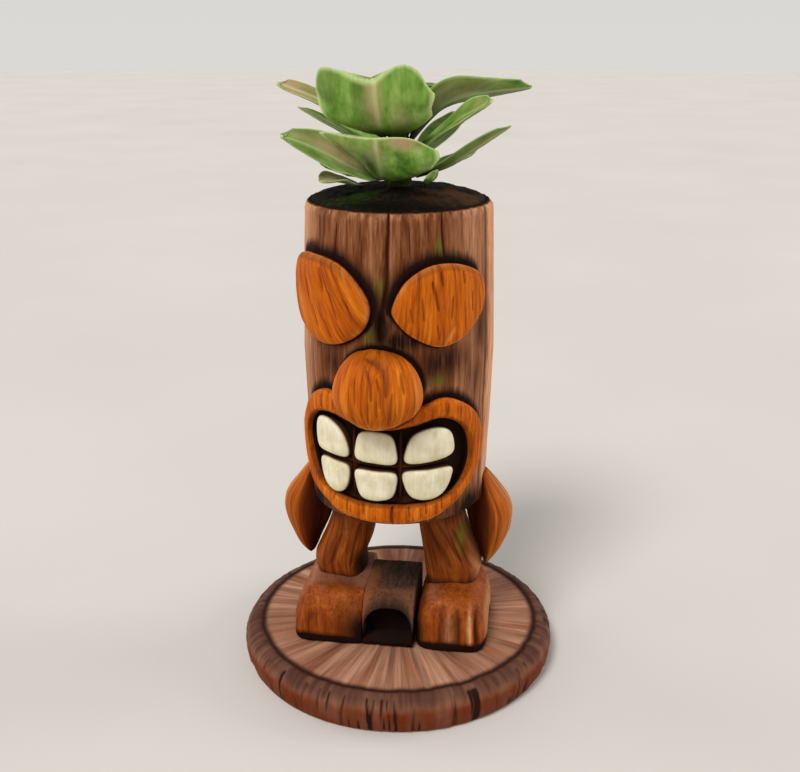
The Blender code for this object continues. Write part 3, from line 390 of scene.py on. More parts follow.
def edge_distance(angle, z, outline):
    """Distance in mm to a closed outline on the log, negative inside, and the way it faces there."""
    px, py = angle * PER_DEGREE, z
    ox, oy = outline[:, 0] * PER_DEGREE, outline[:, 1]
    best = np.full(px.shape, 1e9)
    gx, gy = np.zeros(px.shape), np.zeros(px.shape)
    inside = np.zeros(px.shape, bool)
    for i in range(len(outline)):
        ax, ay, bx, by = ox[i - 1], oy[i - 1], ox[i], oy[i]
        ex, ey = bx - ax, by - ay
        t = unit(((px - ax) * ex + (py - ay) * ey) / (ex * ex + ey * ey + 1e-9))
        dx, dy = px - ax - t * ex, py - ay - t * ey
        d = np.hypot(dx, dy)
        closer = d < best
        best, gx, gy = (np.where(closer, new, old) for new, old in ((d, best), (dx, gx), (dy, gy)))
        if ay != by:
            inside ^= ((ay > py) != (by > py)) & (px < (bx - ax) * (py - ay) / (by - ay) + ax)
    sign = np.where(inside, -1, 1)
    size = most(best, 1e-6) * sign
    return best * sign, gx / size, gy / size


def stroke(x, y, path, width):
    """Weight 0..1 of a tapering stroke along a path in flat coordinates."""
    spans = np.linalg.norm(np.diff(path, axis=0), axis=1)
    done = np.concatenate([[0], np.cumsum(spans)]) / spans.sum()
    best, place = np.full(np.shape(x), 1e9), np.zeros(np.shape(x))
    for k, ((ax, ay), (bx, by)) in enumerate(zip(path, path[1:])):
        t = unit(((x - ax) * (bx - ax) + (y - ay) * (by - ay)) / spans[k] ** 2)
        d = np.hypot(x - ax - t * (bx - ax), y - ay - t * (by - ay))
        place = np.where(d < best, done[k] + t * (done[k + 1] - done[k]), place)
        best = np.minimum(best, d)
    taper = 0.3 + 0.7 * (1 - (2 * place - 1) ** 4)
    return np.exp(-(best / (width * taper)) ** 2)


def cuts(x, y, table, scale=1, sway=0):
    """Weight and depth of a table of cuts; scale turns the first coordinate into millimetres."""
    weight = depth = np.zeros(np.shape(x))
    for width, deep, *path in table:
        each = stroke(x * scale + sway, y, np.reshape(path, (-1, 2)) * (scale, 1), width)
        weight, depth = most(weight, each), depth + deep * each
    return weight, depth


def spots(x, y, table):
    """Weight of the strongest of a table's soft spots."""
    return most(0, *(strength * bell(x, cx, rx) * bell(y, cy, ry) for cx, cy, rx, ry, strength in table))


# ---- materials

def linear(colour):
    """Display colour 0..255 to linear."""
    c = np.asarray(colour, float) / 255
    return np.where(c <= 0.04045, c / 12.92, ((c + 0.055) / 1.055) ** 2.4)


class Finish:
    """Node graph of one material."""

    def __init__(self, name):
        self.material = bpy.data.materials.new(name)
        self.material.use_nodes = True
        self.tree = self.material.node_tree
        self.shader = self.tree.nodes["Principled BSDF"]

    def node(self, kind, inputs=(), **settings):
        made = self.tree.nodes.new("ShaderNode" + kind)
        for key, value in settings.items():
            setattr(made, key, value)
        for key, value in dict(inputs).items():
            self.put(made.inputs[key], value)
        return made

    def put(self, socket, value):
        if isinstance(value, bpy.types.NodeSocket):
            self.tree.links.new(value, socket)
        else:
            socket.default_value = value

    def flow(self):
        return self.node("Attribute", attribute_name="flow").outputs["Vector"]

    def masks(self):
        """The sockets dark, tint, pale and gouge."""
        mask = self.node("Attribute", attribute_name="mask")
        split = self.node("SeparateColor", {0: mask.outputs["Color"]})
        return [split.outputs[k] for k in range(3)] + [mask.outputs["Alpha"]]

    def noise(self, vector, factors, detail=4, roughness=0.55, distortion=0):
        scaled = self.node("VectorMath", {0: vector, 1: factors}, operation="MULTIPLY").outputs[0]
        made = self.node("TexNoise", {"Vector": scaled, "Scale": 1, "Detail": detail,
                                      "Roughness": roughness, "Distortion": distortion})
        return made.outputs["Fac"]

    def ramp(self, value, *stops):
        """Colours, or plain values, at places along an input."""
        made = self.node("ValToRGB", {"Fac": value})
        elements = made.color_ramp.elements
        while len(elements) < len(stops):
            elements.new(0.5)
        for element, (place, colour) in zip(elements, stops):
            element.position = place
            element.color = (*linear(colour), 1) if np.ndim(colour) else (colour, colour, colour, 1)
        return made.outputs["Color"]

    def mix(self, factor, first, second):
        sockets = {0: factor}
        for key, colour in ((6, first), (7, second)):
            plain = not isinstance(colour, bpy.types.NodeSocket)
            sockets[key] = (*linear(colour), 1) if plain else colour
        return self.node("Mix", sockets, data_type="RGBA").outputs[2]

    def layers(self, colour, *layers):
        """The colour with tones laid over it in turn, each where its factor is high."""
        for factor, tone in layers:
            colour = self.mix(factor, colour, tone)
        return colour

    def math(self, operation, first, second):
        return self.node("Math", {0: first, 1: second}, operation=operation, use_clamp=True).outputs[0]

    def times(self, first, second):
        return self.math("MULTIPLY", first, second)

    def blend(self, first, part, second):
        """That part of the first value and the rest of the second."""
        return self.math("ADD", self.times(first, part), self.times(second, 1 - part))

    def finish(self, colour, roughness, height, strength, distance, specular=0.09):
        self.put(self.shader.inputs["Base Color"], colour)
        self.put(self.shader.inputs["Roughness"], roughness)
        bump = self.node("Bump", {"Height": height, "Strength": strength, "Distance": distance})
        self.put(self.shader.inputs["Normal"], bump.outputs["Normal"])
        self.shader.inputs["Specular IOR Level"].default_value = specular
        return self.material


def wood(name, tones, fibre_tone, dark_tone, tint_tone, pale_tone, gouge_tone, fibre=0.8, broad=1):
    """Carved, stained wood. Tones are four display colours from shaded to sunlit grain."""
    f = Finish(name)
    flow, (dark, tint, pale, gouge) = f.flow(), f.masks()
    bands = f.noise(flow, (0.16 * broad, 0.16 * broad, 0.012 * broad), 5, 0.6, 0.6)
    streaks = f.noise(flow, (1.1 * fibre, 1.1 * fibre, 0.06 * fibre), 7, 0.65, 0.4)
    threads = f.noise(flow, (3.6 * fibre, 3.6 * fibre, 0.16 * fibre), 5, 0.7)
    patches = f.noise(flow, (0.09, 0.09, 0.05), 3, 0.5)
    edge = f.math("ADD", dark, f.times(f.math("SUBTRACT", streaks, 0.5), 0.45))
    # Soot and painted shade, where the dark mask is high
    soot_and_shade = f.times(f.ramp(edge, (0.04, 0), (0.8, 1)), f.ramp(dark, (0, 0), (0.12, 1)))
    colour = f.layers(
        f.ramp(f.blend(bands, 0.5, streaks), *zip((0.38, 0.47, 0.55, 0.64), tones)),
        (f.ramp(streaks, (0.3, 0.6), (0.44, 0)), fibre_tone),
        (f.ramp(threads, (0.36, 0.38), (0.5, 0)), fibre_tone),
        (f.times(pale, f.ramp(streaks, (0.3, 0.35), (0.6, 1))), pale_tone),
        (f.times(tint, f.ramp(patches, (0.25, 0.4), (0.6, 1))), tint_tone),
        (gouge, gouge_tone), (soot_and_shade, dark_tone))
    rough = f.ramp(f.math("ADD", f.times(threads, 0.6), f.times(soot_and_shade, 0.25)), (0.15, 0.5), (0.6, 0.78))
    return f.finish(colour, rough, f.blend(streaks, 0.6, threads), 0.55, 0.0005)


def char(name, tones, dark_tone, tint_tone, pale_tone):
    """Scorched, soil-dark wood with a broken surface."""
    f = Finish(name)
    flow, (dark, tint, pale, _) = f.flow(), f.masks()
    crust = f.noise(flow, (0.35, 0.35, 0.2), 8, 0.7, 0.5)
    grit = f.noise(flow, (1.8, 1.8, 1.2), 6, 0.7)
    colour = f.layers(
        f.ramp(crust, *zip((0.34, 0.46, 0.56, 0.68), tones)),
        (f.ramp(grit, (0.35, 0.55), (0.55, 0)), dark_tone),
        (f.times(tint, f.ramp(crust, (0.3, 0.3), (0.6, 1))), tint_tone),
        (f.times(pale, f.ramp(grit, (0.35, 0.4), (0.6, 1))), pale_tone), (dark, dark_tone))
    rough = f.ramp(grit, (0.3, 0.7), (0.7, 0.95))
    return f.finish(colour, rough, f.blend(crust, 0.6, grit), 0.7, 0.0008, 0.05)


def leaf_finish():
    """Painted leaf: blotched green, pale rim and rib partly painted highlight, blush, and painted shade
    where leaves crowd.
    """
    f = Finish("leaf_finish")
    flow, (dark, tint, pale, olive) = f.flow(), f.masks()
    blotch = f.noise(flow, (0.12, 0.12, 0.1), 4, 0.55, 0.4)
    cloud = f.noise(flow, (0.17, 0.17, 0.15), 4, 0.5)
    fibre = f.noise(flow, (1.1, 1.1, 0.05), 5, 0.6)
    tones = ((72, 119, 32), (112, 156, 54), (140, 178, 80), (172, 201, 120))
    shade = f.math("ADD", dark, f.times(f.math("SUBTRACT", cloud, 0.5), 0.3))
    colour = f.layers(
        f.ramp(f.blend(f.blend(blotch, 0.6, cloud), 0.92, fibre), *zip((0.38, 0.46, 0.54, 0.64), tones)),
        (f.ramp(fibre, (0.34, 0.2), (0.46, 0)), (76, 112, 36)),
        (f.times(olive, 0.75), (66, 84, 26)),
        (f.times(tint, f.ramp(cloud, (0.3, 0.6), (0.6, 1))), (186, 146, 116)),
        (f.times(pale, f.ramp(fibre, (0.25, 0.6), (0.6, 1))), (200, 220, 150)),
        (f.times(f.ramp(shade, (0.05, 0), (0.85, 1)), 0.95), (34, 28, 16)))
    rough = f.ramp(fibre, (0.3, 0.42), (0.7, 0.6))
    return f.finish(colour, rough, f.blend(fibre, 0.7, cloud), 0.3, 0.0004, 0.25)


def enamel():
    """Tooth paint over wood: cream with faint brush streaks, greenish tint, brown edges partly outline and
    partly painted shade.
    """
    f = Finish("tooth_finish")
    flow, (dark, tint, _, _) = f.flow(), f.masks()
    streaks = f.noise(flow, (0.8, 0.8, 0.07), 4, 0.6)
    cloud = f.noise(flow, (0.2, 0.2, 0.14), 3, 0.5)
    tones = ((204, 192, 156), (218, 208, 178), (228, 220, 194), (236, 230, 210))
    colour = f.layers(f.ramp(f.blend(streaks, 0.35, cloud), *zip((0.36, 0.48, 0.58, 0.7), tones)),
                      (f.times(tint, 0.7), (210, 212, 140)),
                      (f.ramp(dark, (0.1, 0), (1, 1)), (66, 36, 20)))
    return f.finish(colour, f.ramp(streaks, (0.3, 0.34), (0.7, 0.5)), streaks, 0.15, 0.0003, 0.3)


def steel(name, vector, tones, factors):
    """Brushed steel; vector gives the coordinates that the brush marks follow."""
    f = Finish(name)
    brushed = f.noise(vector(f), factors, 6, 0.7)
    smear = f.noise(vector(f), (0.06 / 6 * factors[2],) * 3, 3, 0.5)
    both = f.blend(brushed, 0.3, smear)
    f.shader.inputs["Metallic"].default_value = 1
    colour = f.ramp(both, *zip((0.35, 0.5, 0.65), tones))
    return f.finish(colour, f.ramp(both, (0.35, 0.24), (0.65, 0.42)), brushed, 0.12, 0.0002, 0.5)


def object_finish(name, tones, factors, roughness, strength):
    """Finish of a CAD node that stays: noise in object coordinates, which are metres."""
    f = Finish(name)
    where = f.node("TexCoord").outputs["Object"]
    broad = f.noise(where, factors, 5, 0.6)
    fine = f.noise(where, tuple(6 * c for c in factors), 5, 0.7)
    colour = f.layers(f.ramp(broad, *zip((0.32, 0.5, 0.68), tones)),
                      (f.ramp(fine, (0.35, 0.32), (0.55, 0)), tones[0]))
    rough = f.ramp(fine, *zip((0.3, 0.7), roughness))
    return f.finish(colour, rough, fine, strength, 0.0004, 0.3)


ORANGE = ((140, 60, 2), (182, 86, 5), (200, 103, 10), (216, 132, 38))
FIBRE = (110, 42, 4)
# Dark tone for burnt paint and for painted shade
SOOT_AND_SHADE = (28, 10, 5)
WOODS = {
    "trunk": wood("trunk_finish", ((78, 38, 16), (112, 61, 28), (134, 82, 50), (158, 107, 80)), (80, 38, 18),
                  SOOT_AND_SHADE, (96, 104, 26), (226, 164, 122), (56, 14, 6), 0.85, 1.3),
    "inlay": wood("inlay_finish", ORANGE, FIBRE, SOOT_AND_SHADE, (84, 92, 22), (224, 142, 72), (90, 30, 8)),
    "leg": wood("leg_finish", ((88, 34, 6), (120, 54, 10), (140, 70, 18), (164, 94, 40)), (78, 28, 4),
                SOOT_AND_SHADE, (120, 128, 40), (200, 136, 92), (58, 20, 8)),
    # The foot's tint tone colours a painted highlight on the feet's tops
    "foot": wood("foot_finish", ((106, 44, 8), (138, 64, 14), (154, 78, 22), (172, 100, 46)), FIBRE,
                 (26, 7, 3), (150, 104, 84), (218, 164, 116), (72, 24, 8)),
    # The arm's dark and gouge tones also colour painted shade in the palms
    "arm": wood("arm_finish", ((126, 54, 8), (156, 76, 14), (172, 90, 24), (192, 112, 44)), FIBRE,
                (62, 21, 9), (150, 130, 40), (222, 150, 90), (96, 34, 10)),
    "base": wood("base_finish", ((120, 80, 60), (150, 104, 80), (170, 124, 99), (188, 144, 120)),
                 (134, 90, 69), (34, 13, 6), (130, 51, 4), (206, 160, 132), (84, 50, 40), 0.32, 0.8),
}


# ---- meshes

def make(name, body, slot, material, grid, flow, node, dark=0, tint=0, pale=0, gouge=0, looped=False):
    """A closed piece from points (rows, columns, 3) in mm. Columns join round. The rows join up too
    when looped, and otherwise each end row closes to its middle."""
    rows, columns = grid.shape[:2]
    index = np.arange(rows * columns).reshape(rows, columns)
    masks = [unit(np.broadcast_to(m, (rows, columns))) for m in (dark, tint, pale, gouge)]
    data = np.concatenate([grid, np.broadcast_to(flow, grid.shape), np.stack(masks, -1)], -1)
    data = data.reshape(rows * columns, -1)
    low = index if looped else index[:-1]
    high = np.roll(index, -1, 0) if looped else index[1:]
    quads = np.stack([low, np.roll(low, -1, 1), np.roll(high, -1, 1), high], -1).reshape(-1, 4)
    a, b, c, d = (data[quads[:, k], :3] for k in range(4))
    volume = np.sum(a * np.cross(b, c)) + np.sum(a * np.cross(c, d))
    faces = quads.tolist()
    if not looped:
        for row, step in ((index[0], -1), (index[-1], 1)):
            middle = len(data)
            data = np.vstack([data, data[row].mean(0)])
            pair = (np.roll(row, -1), row)[::-step]
            faces += np.stack([np.full(columns, middle), *pair], -1).tolist()
    if volume < 0:
        faces = [face[::-1] for face in faces]
    mesh = bpy.data.meshes.new(name)
    mesh.from_pydata((data[:, :3] * MM).tolist(), [], faces)
    for label, kind, key, part in (
            ("flow", "FLOAT_VECTOR", "vector", data[:, 3:6]), ("mask", "FLOAT_COLOR", "color", data[:, 6:])):
        layer = mesh.attributes.new(label, kind, "POINT")
        layer.data.foreach_set(key, part.astype(np.float32).ravel())
    mesh.materials.append(material)
    mesh.shade_smooth()
    made = added(name, mesh)
    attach(made, body)
    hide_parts(node)


def carve(node, kind, grid, flow, slot="carved_wood", **masks):
    """A wooden piece of the figure that stands for one CAD node."""
    make(node + "_carved", "figure", slot, WOODS[kind], grid, flow, node, **masks)


def superellipse(x_low, x_high, y_low, y_high, squareness, turn):
    """Points of a rounded section between four limits, at turns in radians."""
    c, s = np.cos(turn), np.sin(turn)
    u = np.sign(c) * np.abs(c) ** (2 / squareness)
    v = np.sign(s) * np.abs(s) ** (2 / squareness)
    return (x_low + x_high) / 2 + u * (x_high - x_low) / 2, (y_low + y_high) / 2 + v * (y_high - y_low) / 2


# ---- log

def polar_outline(points, count):
    """Outline as count points at even angles round the mouth's centre."""
    across, up = ((spline(points, 60 * len(points), closed=True) - MOUTH_CENTRE) * (PER_DEGREE, 1)).T
    turn = np.arctan2(up, across) % (2 * math.pi)
    order = np.argsort(turn)
    even = turns(count)
    reach = np.interp(even, turn[order], np.hypot(across, up)[order], period=2 * math.pi)
    return np.stack([reach * np.cos(even) / PER_DEGREE, reach * np.sin(even)], -1) + MOUTH_CENTRE


def build_log():
    t = turns(LOG_COLUMNS) - math.pi
    top = TRUNK_TOP
    under = refined([(1, TRUNK_BOTTOM), (39.8, TRUNK_BOTTOM)], 6)[:-1]
    side = refined(TRUNK_PROFILE, 0.78, 0.25)
    lid_r, lid_z, liner_r, liner_z = LID_STEP[0], top - LID_STEP[1], LINER_STEP[0], top - LINER_STEP[1]
    inner = refined([(41.3, top), (lid_r, top - 0.5), (lid_r, lid_z), (liner_r, lid_z), (liner_r, liner_z),
                     (BORE_RADIUS, liner_z), (BORE_RADIUS, BORE_FLOOR), (1, BORE_FLOOR)], 8, 0.15)[1:]
    profile = np.vstack([under, side, inner])
    row = np.arange(len(profile))[:, None]
    out = (row >= len(under)) & (row < len(under) + len(side))
    theta, z, radius = np.broadcast_arrays(np.degrees(t - 0.45 * np.sin(t)), profile[:, 1:], profile[:, :1])
    flow = on_log(theta, z, radius)
    medium, broad = grains(flow, (1.6, 34), (4.5, 120), 11)
    fine = grain(flow, 0.6, 12, 23)
    split, deep = cuts(theta, z, CRACKS, PER_DEGREE, 0.45 * grain(flow, 30, 9, 41))
    # A raised strip beside the long split on the viewer's right, which carries a painted highlight
    strip = rise(72.8, 75.4, theta) * rise(104, 95, theta)
    lift = 0.3 * broad + 0.2 * medium + 0.07 * fine - deep + 0.7 * strip
    gouge = most(0.45 * rise(0.3, 0.85, -medium) + 0.25 * rise(0.35, 0.9, -fine), split)

    near = (np.abs(theta) < 100) & out
    a, h = theta[near], z[near]
    hatch = grain(flow[near], 0.8, 12, 57)
    soot_and_shade, sink = np.zeros(a.shape), np.zeros(a.shape)
    nose_ring = np.stack([NOSE_CENTRE[0] / PER_DEGREE + NOSE_RING[0] * np.cos(turns(72)),
                          NOSE_CENTRE[2] + NOSE_RING[1] * np.sin(turns(72))], -1)
    # Burnt, sunken rings round what is let in: outline, the way the burn runs, its least and most width
    for outline, towards, thin, thick in (
            (spline(RIGHT_EYE, 120, closed=True), (-0.62, 0.78), 1.1, 5.7),
            (spline(LEFT_EYE, 120, closed=True), (0.7, 0.71), 1.1, 5.7),
            (nose_ring, (0.35, 0.94), 0.7, 3.6),
            (polar_outline(MOUTH_OUTER, 160), (0, 1), 0.7, 4.1)):
        d, fx, fy = edge_distance(a, h, outline)
        facing = unit(fx * towards[0] + fy * towards[1]) ** 0.8
        reach = thin + (thick - thin) * facing * (1 + 0.4 * hatch * np.clip(fy, 0.2, 1))
        soot_and_shade = most(soot_and_shade, rise(1.75, 0.05, d / reach))
        sink = most(sink, 0.55 * bell(d, 0.2, 0.9) + 1.7 * rise(-0.4, -1.6, d))
    soot_and_shade = most(soot_and_shade, spots(a, h, DARK_SPOTS) * np.clip(1 + 0.7 * hatch, 0.3, 1.5))
    # The dark pocket in the mouth, with ridges between the teeth
    within = rise(1.6, 0.4, edge_distance(a, h, polar_outline(MOUTH_INNER, 160))[0])
    ridges = cuts(a, h, POCKET_RIDGES, PER_DEGREE)[0]
    lip = rise(105.5, 101.5, h)
    lift[near] -= sink
    radius = radius + lift * out * rise(TRUNK_BOTTOM, TRUNK_BOTTOM + 2, z) * rise(top - 0.3, top - 2, z)
    radius[near] += (POCKET_RADIUS + 0.12 * hatch + 1.9 * ridges - radius[near]) * within
    dark = np.where(out, 0, 0.25) * np.ones(z.shape)
    dark[near] = soot_and_shade + (unit(0.94 - 0.62 * ridges - 0.55 * lip) - soot_and_shade) * within
    gouge[near] += (0.75 - gouge[near]) * within
    rim_char = 0.9 * rise(top - 0.9, top - 0.2, z + 0.5 * medium)
    dark = most(dark, rim_char, 0.45 * rise(TRUNK_BOTTOM + 3, TRUNK_BOTTOM, z))
    # Painted highlights on the strip and the left edge; lighter and pinker towards the sides and below the
    # rim
    pinkish = 0.27 * rise(36, 48, theta) + 0.25 * rise(-44, -56, theta) * rise(150, 190, z)
    pale = 1.2 * strip + 0.4 * rise(0.25, 0.8, broad) + 0.5 * bell(theta, -70, 16)
    pale = pale + pinkish * (1 + 0.5 * medium)
    pale = pale + 0.35 * rise(top - 5, top - 1.5, z) * rise(-0.2, 0.6, medium)
    pale = unit(pale) * out * (1 - unit(2 * dark))
    chipped = rise(top - 6, top - 2, z) * out * (radius < 44)
    carve("trunk_cup", "trunk", on_log(theta, z + 0.3 * medium * chipped, radius), flow, "trunk_wood",
          dark=dark, tint=spots(theta, z, MOSS_SPOTS), pale=pale, gouge=gouge)


# ---- face

def pad(points, columns, rows, back, edge, crown, power):
    """Grid of a pad on the log, from the middle of its back round to the middle of its face.
    Gives its middle, the scale of its outline, angle, height, distance out and weight of the face."""
    outline = spline(points, columns, closed=True)
    middle = outline.mean(0)
    s = np.cos(0.5 * math.pi * np.arange(1, rows) / rows)
    face = edge + (crown - edge) * (1 - s ** power) ** 0.36
    scale = np.concatenate([(0.04, 0.3, 0.6, 0.85), np.ones(6), s])[:, None]
    out = np.concatenate([np.full(4, back), np.linspace(back, edge, 6), face])[:, None]
    theta, z = np.moveaxis(middle + (outline - middle) * scale[..., None], -1, 0)
    return middle, scale, theta, z, out * np.ones(z.shape), rise(1, 0.985, scale) * (out > edge)


def build_eye(name, points, slope, gouges, chips=()):
    middle, scale, theta, z, out, face = pad(points, columns=230, rows=64, back=-INLAY_DEPTH, edge=1,
                                             crown=EYE_PROUD, power=5.5)
    x, y = (theta - middle[0]) * PER_DEGREE, z - middle[1]
    cosine, sine = math.cos(math.radians(slope)), math.sin(math.radians(slope))
    run = y * cosine - x * sine
    flow = xyz(x * cosine + y * sine + 0.006 * x * run, middle[0], run)
    medium, broad = grains(flow, (1.5, 15), (5, 30), 5)
    split, deep = cuts(theta, z, gouges, PER_DEGREE)
    nick, chipped = cuts(theta, z, chips, PER_DEGREE)
    lift = 0.34 * medium + 0.35 * broad - deep - chipped
    rim = rise(0.9, 0.985, scale) * (out > 1.5)
    dark = most(0.8 * rise(1.4, 0.2, out), 0.35 * rise(0.8, 0.94, scale) * rise(0.2, 1, y / 18) * face)
    # The rim's pale is a painted highlight; the chips and lighter grain are pale too
    carve(name, "inlay", on_log(theta, z, trunk_radius(z) + out + lift * face), flow, dark=dark,
          pale=0.75 * rim * (0.7 + 0.6 * medium) + 0.75 * nick + 0.25 * rise(0.3, 0.8, broad),
          gouge=most(0.7 * split, 0.35 * rise(0.25, 0.8, -medium) * face))


def build_mouth():
    outer, inner = polar_outline(MOUTH_OUTER, 460), polar_outline(MOUTH_INNER, 460)
    turn = np.linspace(0, math.pi, 30)
    wall = np.linspace(-INLAY_DEPTH, 0.9, 5)[:-1]
    part = np.concatenate([np.zeros(4), 0.5 - 0.5 * np.cos(turn), np.ones(4), (0.75, 0.5, 0.25)])[:, None]
    height = 0.9 + (MOUTH_RING_PROUD - 0.65) * np.sin(turn) ** 0.5
    height = np.concatenate([wall, height, wall[::-1], np.full(3, -INLAY_DEPTH)])[:, None]
    theta, z = np.moveaxis(inner + (outer - inner) * part[..., None], -1, 0)
    flow = on_log(theta, z, trunk_radius(z) + height)
    medium, broad = grains(flow, (1.1, 16), (4, 40), 31)
    face = rise(1.2, 2.4, height)
    split, deep = cuts(theta, z, MOUTH_CUTS, PER_DEGREE)
    lift = (0.24 * medium + 0.28 * broad - deep) * face
    edges = np.where(part < 0.5, 0.9 * rise(1.6, 0.2, height), 0.85 * rise(1.2, 0, height))
    beside = np.sqrt((((flow - NOSE_CENTRE) / NOSE_RADII) ** 2).sum(-1))
    dark = most(edges, 0.4 * rise(0.22, 0.05, part), 0.75 * rise(1.16, 1.02, beside))
    carve("mouth_ring", "inlay", on_log(theta, z, trunk_radius(z) + height + lift), flow, dark=dark,
          pale=0.45 * rise(0.3, 0.8, broad) + 0.5 * rise(0.8, 0.95, part) * face * (z < 112),
          gouge=most(0.8 * split * face, 0.4 * rise(0.2, 0.75, -medium) * face), looped=True)


def build_teeth():
    finish = enamel()
    for number, (label, points) in enumerate(TEETH.items()):
        name = "tooth_" + label
        middle, scale, theta, z, out, face = pad(points, columns=150, rows=34, back=POCKET_RADIUS + GAP,
                                                 edge=TOOTH_FACE - 2.4, crown=TOOTH_FACE, power=3.4)
        flow = on_log(theta, z, out) + (0, 0, 31 * number)
        lift = 0.1 * grain(flow, 2.2, 14, 71) + 0.16 * grain(flow, 7, 9, 83, 1)
        low = rise(0.15, 1, (middle[1] - z) / 7 + 0.3 * (middle[0] - theta) / 12)
        # Painted shade on each tooth's sides and round its rim, partly a brown outline
        dark = most(rise(TOOTH_FACE - 0.6, TOOTH_FACE - 2.6, out), 0.22 * rise(0.87, 0.99, scale))
        make(name + "_painted", "figure", "tooth_paint", finish, on_log(theta, z, out + lift * face), flow,
             name, dark=dark, tint=0.4 * low * rise(0.35, 0.9, scale) + 0.06)


def build_nose():
    columns = turns(200)
    rows = np.linspace(0.015, math.pi - 0.02, 130)[:, None]
    swell = 1 + 0.018 * np.cos(3 * columns + 0.6) + 0.012 * np.cos(5 * columns + 2)
    reach = np.sin(rows) ** 0.94 * swell
    local = xyz(reach * np.cos(columns), -np.cos(rows), reach * np.sin(columns))
    grid = NOSE_CENTRE + NOSE_RADII * local
    lean, up = local[..., 0], local[..., 2]
    meridian = np.arctan2(lean, 0.8 - local[..., 1])
    flow = xyz(30 * meridian, 0.15 * grid[..., 1], grid[..., 2] - 1.4 * lean)
    medium, broad = grains(flow, (1.5, 17), (5, 26), 101)
    split, deep = cuts(grid[..., 0], grid[..., 2], NOSE_CUTS)
    front = local[..., 1] < 0
    normal = direction(local / NOSE_RADII)
    grid = grid + normal * (0.26 * medium + 0.42 * broad - deep * front)[..., None]
    reach, seat = np.hypot(grid[..., 0], grid[..., 1]), trunk_radius(grid[..., 2])
    grid[..., :2] *= most((seat - INLAY_DEPTH) / reach, 1)[..., None]
    # Pale: a painted highlight on the nose's underside and sides, with lighter grain
    carve("nose", "inlay", grid, flow, dark=0.85 * rise(1.8, 0.4, reach - seat) + 0.25 * rise(0.6, 1, up),
          pale=0.55 * rise(-0.6, -1, up) + 0.35 * rise(0.25, 0.8, broad) + 0.4 * rise(0.75, 1, np.abs(lean)),
          gouge=most(0.65 * split * front, 0.35 * rise(0.25, 0.8, -medium)))


# ---- limbs

def stacked(stations, rows):
    """Smooth columns of a station table at even steps, as arrays (rows, 1)."""
    return [column[:, None] for column in along(stations, np.linspace(0, 1, rows)).T]


def sides(side, inner, outer):
    """Low x, high x and middle of a section between two distances from the centre line."""
    low, high = np.minimum(side * inner, side * outer), most(side * inner, side * outer)
    return low, high, (low + high) / 2


def pushed(x, y, centre_x, centre_y, amount):
    """Points moved outwards in plan from a centre line."""
    dx, dy = x - centre_x, y - centre_y
    size = most(np.hypot(dx, dy), 1e-6)
    return x + dx / size * amount, y + dy / size * amount


def build_legs():
    turn = turns(150)
    for (side, label), tilt, table in zip(SIDES, (0.1, 0.12), (LEFT_LEG_CUTS, RIGHT_LEG_CUTS)):
        right = side > 0
        z, inner, outer, front, back = stacked(LEG_STATIONS, 110)
        low, high, middle = sides(side, inner + (0 if right else 2.8 * bell(z, 51, 9)), outer)
        x, y = superellipse(low, high, front, back, 2.8, turn)
        z = z * np.ones(x.shape)
        flow = spun(15, z, turn + tilt * (z - 60) / 15) + (0, 0, 40 * right)
        medium, broad = grains(flow, (1.7, 15), (6, 16), 131)
        split, deep = cuts(x, z, table)
        split, deep = split * (y < -4), deep * (y < -4)
        outwards = side * (x - middle)
        calf = rise(0.75, 1, outwards / ((high - low) / 2)) * right
        knee = 1.5 * bell(z, 53, 7) * rise(0.2, 1, outwards / 12)
        fade = rise(88.4, 86, z) * rise(39, 44, z)
        x, y = pushed(x, y, middle, 0, (0.3 * medium + 0.6 * broad - deep + knee + 0.5 * calf) * fade)
        inside = rise(0.3, 1, -outwards / 12)
        # Painted shade under the log and on the inner side; the band above the foot is partly a burnt
        # crease, partly painted shade
        dark = most(0.75 * rise(76, 88, z) + 0.5 * inside * rise(-6, 8, y),
                    0.6 * rise(50, 45, z + medium),
                    (0.3 * rise(60, 84, z) + 0.75 * (not right) * rise(66, 50, z)) * inside)
        moss = 0.8 * bell(side * x, 33, 2) * bell(z, 70.5, 5.5) * (y < 0) * right
        # The calf's pale is a painted highlight down the right leg's outer side
        carve(label + "_leg", "leg", xyz(x, y, z), flow, dark=dark, tint=moss,
              pale=0.7 * calf * (0.6 + 0.5 * medium) + 0.4 * rise(0.3, 0.9, broad),
              gouge=most(0.6 * split, 0.35 * rise(0.2, 0.75, -medium)))


